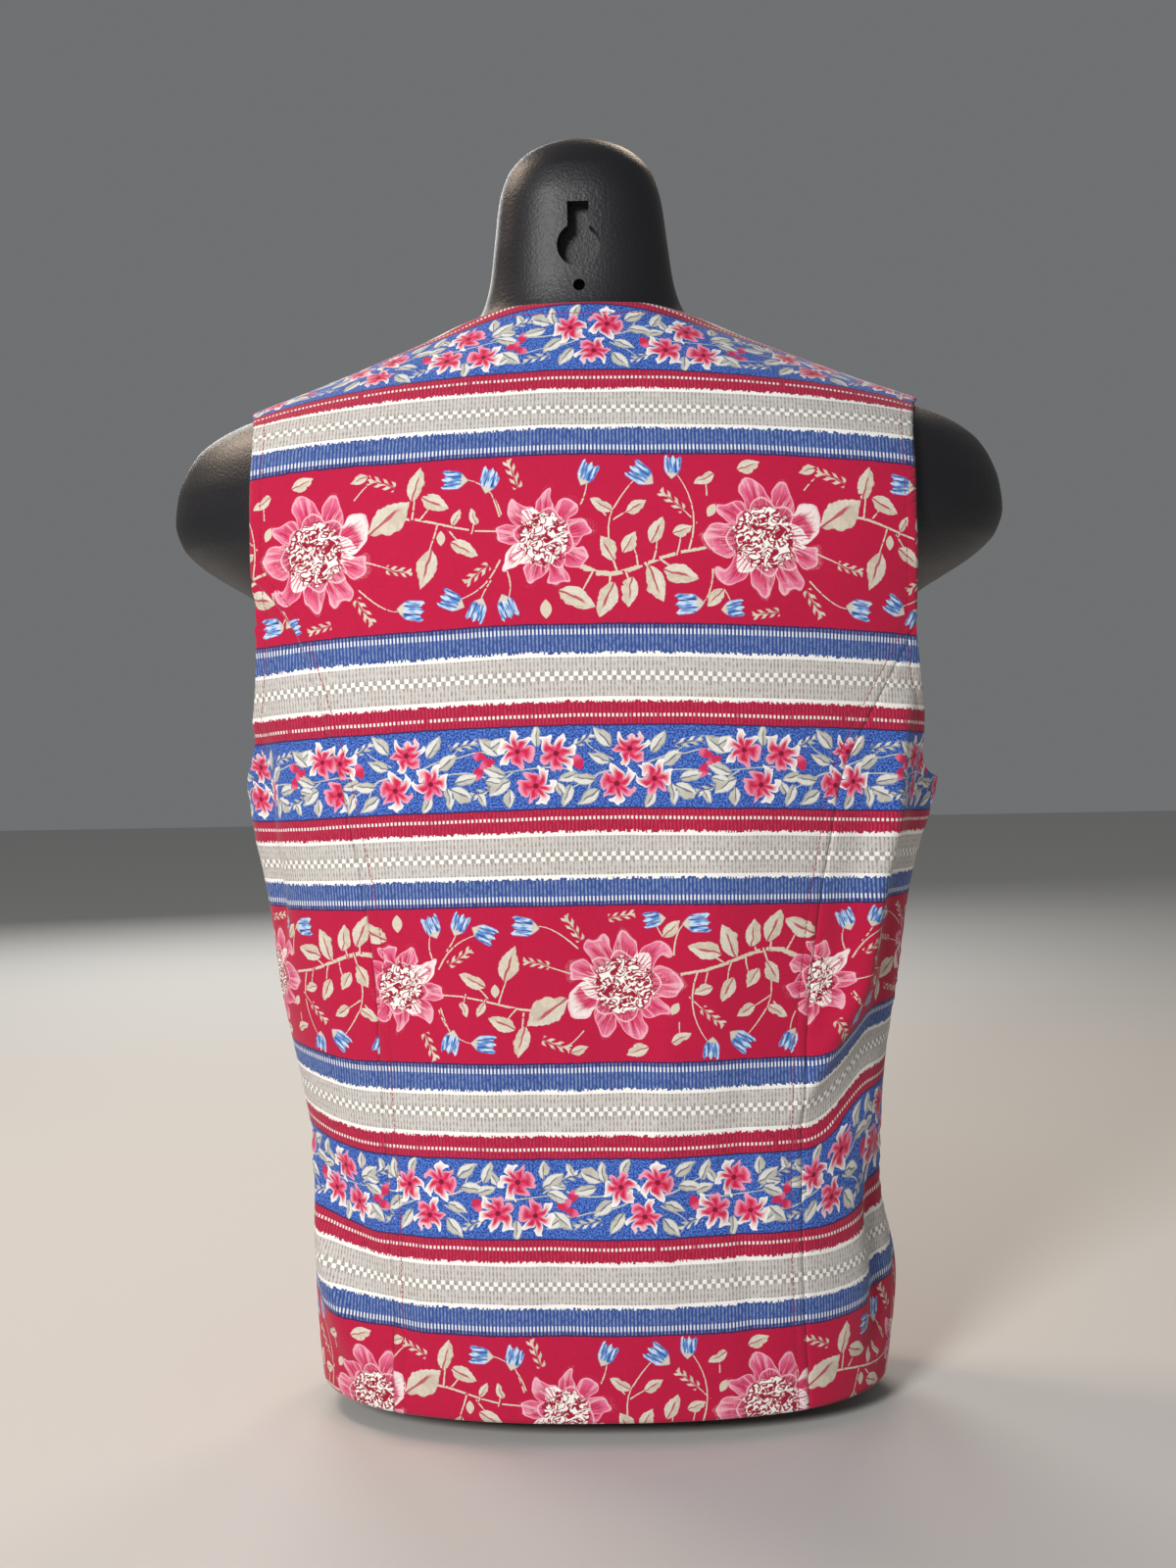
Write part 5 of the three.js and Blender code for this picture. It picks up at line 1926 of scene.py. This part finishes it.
def make_vine():
    """A soft bar, for the short straight pieces that a vine is made of."""
    inputs = (("Place", "Vector"), ("Cloth", "Vector"))
    outputs = (("Mask", "Float"),)
    g, given, result = new_group("Vine", inputs, outputs)
    along, across, half_length = g.split(given["Place"])
    past = (abs(along) - 1.0) * half_length
    fine = (g.noise(given["Cloth"], 0.7, 1.0) - 0.5) * 0.7
    thick = g.step(abs(across) + fine, 0.72, 0.5)
    g.put(result["Mask"], thick * g.step(past, 1.0, 0.5))


make_leaf()
make_vine()
print("leaf and vine groups ready")

# %% [markdown]
# ## Sewing and weave
# The topstitching is red thread, one dash to about three millimetres, at an even distance from each
# stitched edge. The weave is a fine crossing of threads, kept faint in colour and in height.
# %% Sewing and weave groups
STITCH_LENGTH = 2.9
WEAVE = 0.62  # from thread to thread


def make_sewing():
    inputs = (("Sewing", "Vector"),)
    outputs = (("Thread", "Float"), ("Dimple", "Float"))
    g, given, result = new_group("Topstitch", inputs, outputs)
    distance, walked, _ = g.split(given["Sewing"])
    off = abs(distance - STITCH_IN)
    line = g.step(off, 0.42, 0.18)
    dash = g.math("FRACT", walked / STITCH_LENGTH)
    piece = g.between(dash, 0.10, 0.78, 0.05)
    g.put(result["Thread"], line * piece)
    hollow = g.step(off, 1.4, 0.2) * (1.0 - piece)
    g.put(result["Dimple"], hollow)


def make_weave():
    inputs = (("Along", "Float"), ("Across", "Float"))
    outputs = (("Tone", "Float"), ("Height", "Float"))
    g, given, result = new_group("Weave", inputs, outputs)
    x = given["Along"]
    v = given["Across"]
    place = g.join(x, v)
    warp = g.math("SINE", x * (2 * math.pi / WEAVE))
    weft = g.math("SINE", v * (2 * math.pi / WEAVE))
    cross = warp * weft
    slub_across = g.noise(g.join(x * 0.12, v * 2.2), 1.0, 2.0)
    slub_along = g.noise(g.join(x * 2.2, v * 0.12), 1.0, 2.0)
    slubs = slub_across + slub_along
    fleck = g.noise(place, 2.2, 1.0, 0.7)
    tone = (slubs - 1.0) * 0.55 + (fleck * 0.35 + 0.32)
    g.put(result["Tone"], tone)
    g.put(result["Height"], cross * 0.35 + slubs * 0.6)


make_sewing()
make_weave()
print("sewing and weave groups ready")

# %% [markdown]
# ## The printed cotton
# The print is stacked as it would be inked: ground stripes, vines, leaves and bells, then flowers. The
# weave lightens and darkens it, thread is laid on top, and the reverse of the cloth is paler.
# %% Cloth material
def make_cloth():
    material = bpy.data.materials.new("printed cotton")
    material.use_nodes = True
    tree = material.node_tree
    g = Graph(tree)
    surface = tree.nodes["Principled BSDF"]
    uv = g.out(g.node("ShaderNodeUVMap", uv_map="cloth"))
    scaled = g.node("ShaderNodeVectorMath", operation="SCALE")
    g.put(scaled.inputs[0], uv)
    scaled.inputs["Scale"].default_value = 1000.0
    cloth = g.out(scaled)
    x, v, _ = g.split(cloth)
    stripes = use_group(g, "Stripes", {"Along": x, "Across": v})
    ground = g.math("MAXIMUM", stripes["Red Ground"], stripes["Blue Ground"])
    vine = use_group(g, "Vine", {"Place": g.attribute("vine"), "Cloth": cloth})
    vine_mask = vine["Mask"] * ground
    vine_colour = g.mix(stripes["Blue Ground"], LEAF_TONE, LEAF_GREY)
    colour = g.mix(vine_mask, stripes["Color"], vine_colour)
    leaf = use_group(g, "Leaf and bell", {"Place": g.attribute("leaf"), "Grey": stripes["Blue Ground"]})
    leaf_mask = leaf["Mask"] * ground
    colour = g.mix(leaf_mask, colour, leaf["Color"])
    flower_place = g.attribute("flower")
    flower_kind = g.split(flower_place)[2]
    is_star = g.step(flower_kind, 1.6, 1.8)
    dahlia = use_group(g, "Many-petalled flower", {"Place": flower_place})
    star = use_group(g, "Star flower", {"Place": flower_place})
    flower_colour = g.mix(is_star, dahlia["Color"], star["Color"])
    flower_mask = g.blend(is_star, dahlia["Mask"], star["Mask"]) * ground
    colour = g.mix(flower_mask, colour, flower_colour)
    weave = use_group(g, "Weave", {"Along": x, "Across": v})
    bright = weave["Tone"] * 0.52 + 0.76
    tinted = g.node("ShaderNodeHueSaturation")
    g.put(tinted.inputs["Value"], bright)
    g.put(tinted.inputs["Color"], colour)
    colour = g.out(tinted)
    sewing_place = g.attribute("sewing")
    inside = g.split(sewing_place)[2]
    sewing = use_group(g, "Topstitch", {"Sewing": sewing_place})
    colour = g.mix(sewing["Thread"] * 0.9, colour, srgb(170, 20, 44))
    pale = g.mix(0.62, colour, srgb(206, 180, 176))
    colour = g.mix(g.step(inside, 0.4, 0.6), colour, pale)
    g.put(surface.inputs["Base Color"], colour)
    surface.inputs["Roughness"].default_value = 0.82
    surface.inputs["Specular IOR Level"].default_value = 0.25
    surface.inputs["Sheen Weight"].default_value = 0.12
    surface.inputs["Sheen Roughness"].default_value = 0.5
    height = weave["Height"] * 0.05
    height = height + sewing["Thread"] * 0.2
    height = height - sewing["Dimple"] * 0.16
    bump = g.node("ShaderNodeBump")
    bump.inputs["Strength"].default_value = 0.8
    bump.inputs["Distance"].default_value = 0.001
    g.put(bump.inputs["Height"], height)
    g.put(surface.inputs["Normal"], g.out(bump))
    return material


cotton = make_cloth()
print("printed cotton:", len(cotton.node_tree.nodes), "nodes")

# %% [markdown]
# ## The form's and the buttons' plastic
# The form is black moulded plastic with a fine pebbled skin, so highlights break up at their rims. The
# buttons are dark red and polished, with red thread.
# %% Plastic materials
def make_plastic(name, colour, roughness, grain, depth):
    material = bpy.data.materials.new(name)
    material.use_nodes = True
    tree = material.node_tree
    g = Graph(tree)
    surface = tree.nodes["Principled BSDF"]
    place = g.out(g.node("ShaderNodeTexCoord"), "Object")
    surface.inputs["Base Color"].default_value = colour
    cloudy = g.noise(place, 24.0, 3.0)
    g.put(surface.inputs["Roughness"], cloudy * 0.16 + (roughness - 0.08))
    bump = g.node("ShaderNodeBump")
    bump.inputs["Strength"].default_value = 0.5
    bump.inputs["Distance"].default_value = depth
    g.put(bump.inputs["Height"], g.noise(place, grain, 2.0, 0.6))
    g.put(surface.inputs["Normal"], g.out(bump))
    return material


form_plastic = make_plastic("black textured plastic", srgb(25, 24, 29), 0.47, 620.0, 0.0006)
button_plastic = make_plastic("red button", srgb(120, 14, 34), 0.28, 60.0, 0.0001)
thread_red = make_plastic("red thread", srgb(170, 20, 44), 0.8, 900.0, 0.0002)
print("plastics ready")

# %% [markdown]
# ## Fastening the pieces to the frame
# Each piece rides on the one rigid body and says which finish it takes. All but the threads stand in
# for a solid.
# %% Riding and replacing
def give(obj, material):
    obj.data.materials.clear()
    obj.data.materials.append(material)


for node, (obj, area, wide, high) in PANELS.items():
    give(obj, cotton)
    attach(obj, "root")
    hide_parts(node)
give(form_skin, form_plastic)
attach(form_skin, "root")
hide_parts("torso_form")
for node, (obj, sewn) in BUTTONS.items():
    give(obj, button_plastic)
    give(sewn, thread_red)
    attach(obj, "root")
    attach(sewn, "root")
    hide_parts(node)
print("all pieces ride on root")

# %% [markdown]
# ## Floor and light
# A plain pale floor under a grey sky. One soft light stands behind the back, a little to the left,
# and a very weak one fills the right. Two warm lights rim the shoulders of the form, and one lights the
# front for whoever walks round.
# %% Floor and light
def make_floor():
    mesh = bpy.data.meshes.new("floor")
    mesh.from_pydata([(-6, -6, 0), (6, -6, 0), (6, 6, 0), (-6, 6, 0)], [], [(0, 1, 2, 3)])
    obj = add_object("floor", mesh)
    material = bpy.data.materials.new("pale floor")
    material.use_nodes = True
    surface = material.node_tree.nodes["Principled BSDF"]
    surface.inputs["Base Color"].default_value = srgb(214, 212, 208)
    surface.inputs["Roughness"].default_value = 0.9
    obj.data.materials.append(material)


def area_light(name, place, target, size, power, colour):
    data = bpy.data.lights.new(name, "AREA")
    data.shape = "DISK"
    data.size = size
    data.energy = power
    data.color = colour
    obj = add_object(name, data)
    obj.location = place
    obj.rotation_euler = (Vector(target) - Vector(place)).to_track_quat("-Z", "Y").to_euler()


make_floor()
area_light("key", (-0.98, -2.35, 1.2), (0, 0, 0.36), 0.7, 57, (1.0, 0.99, 0.98))
area_light("fill", (1.9, -1.9, 0.9), (0, 0, 0.35), 1.6, 0.4, (0.98, 0.99, 1.0))
area_light("rim left", (-0.9, 0.5, 1.5), (-0.1, 0, 0.6), 0.5, 9, (1.0, 0.80, 0.62))
area_light("rim right", (0.3, 1.2, 1.5), (0.1, 0, 0.60), 0.4, 5, (1.0, 0.80, 0.62))
area_light("front", (-0.7, 2.4, 1.4), (0, 0, 0.35), 1.2, 26, (1.0, 0.99, 0.97))
world = bpy.data.worlds.new("studio")
world.use_nodes = True
world.node_tree.nodes["Background"].inputs[0].default_value = (0.80, 0.82, 0.84, 1)
world.node_tree.nodes["Background"].inputs[1].default_value = 0.20
scene.world = world
scene.view_settings.view_transform = "Standard"
print("floor and lights ready")

# %% [markdown]
# ## Camera
# The camera stands where the photograph was taken: a little over a metre behind the back, at chest
# height, a little to the right, tipped down by two degrees and rolled by one.
# %% Camera
CAMERA_FROM_BACK = 1.150
CAMERA_HEIGHT = 0.401
BACK_PLANE = -0.083
SENSOR = 36
PHOTO_HEIGHT = 1600
YAW = math.radians(2.0)
PITCH = math.radians(2.2)
ROLL = math.radians(1.1)
FOCAL_PIXELS = 2211


def make_camera():
    data = bpy.data.cameras.new("camera")
    data.sensor_width = SENSOR
    data.lens = FOCAL_PIXELS * SENSOR / PHOTO_HEIGHT
    data.dof.use_dof = False
    obj = add_object("camera", data)
    level = Vector((-math.sin(YAW), math.cos(YAW), 0))
    forward = level * math.cos(PITCH) - Vector((0, 0, math.sin(PITCH)))
    right = forward.cross(Vector((0, 0, 1))).normalized()
    up = right.cross(forward)
    rolled_right = right * math.cos(ROLL) - up * math.sin(ROLL)
    rolled_up = right * math.sin(ROLL) + up * math.cos(ROLL)
    turn = Matrix((rolled_right, rolled_up, -forward)).transposed().to_4x4()
    x = CAMERA_FROM_BACK * math.sin(YAW)
    y = BACK_PLANE - CAMERA_FROM_BACK * math.cos(YAW)
    obj.matrix_world = Matrix.Translation((x, y, CAMERA_HEIGHT)) @ turn
    scene.camera = obj


make_camera()
print("camera", [round(c, 3) for c in scene.camera.matrix_world.translation])
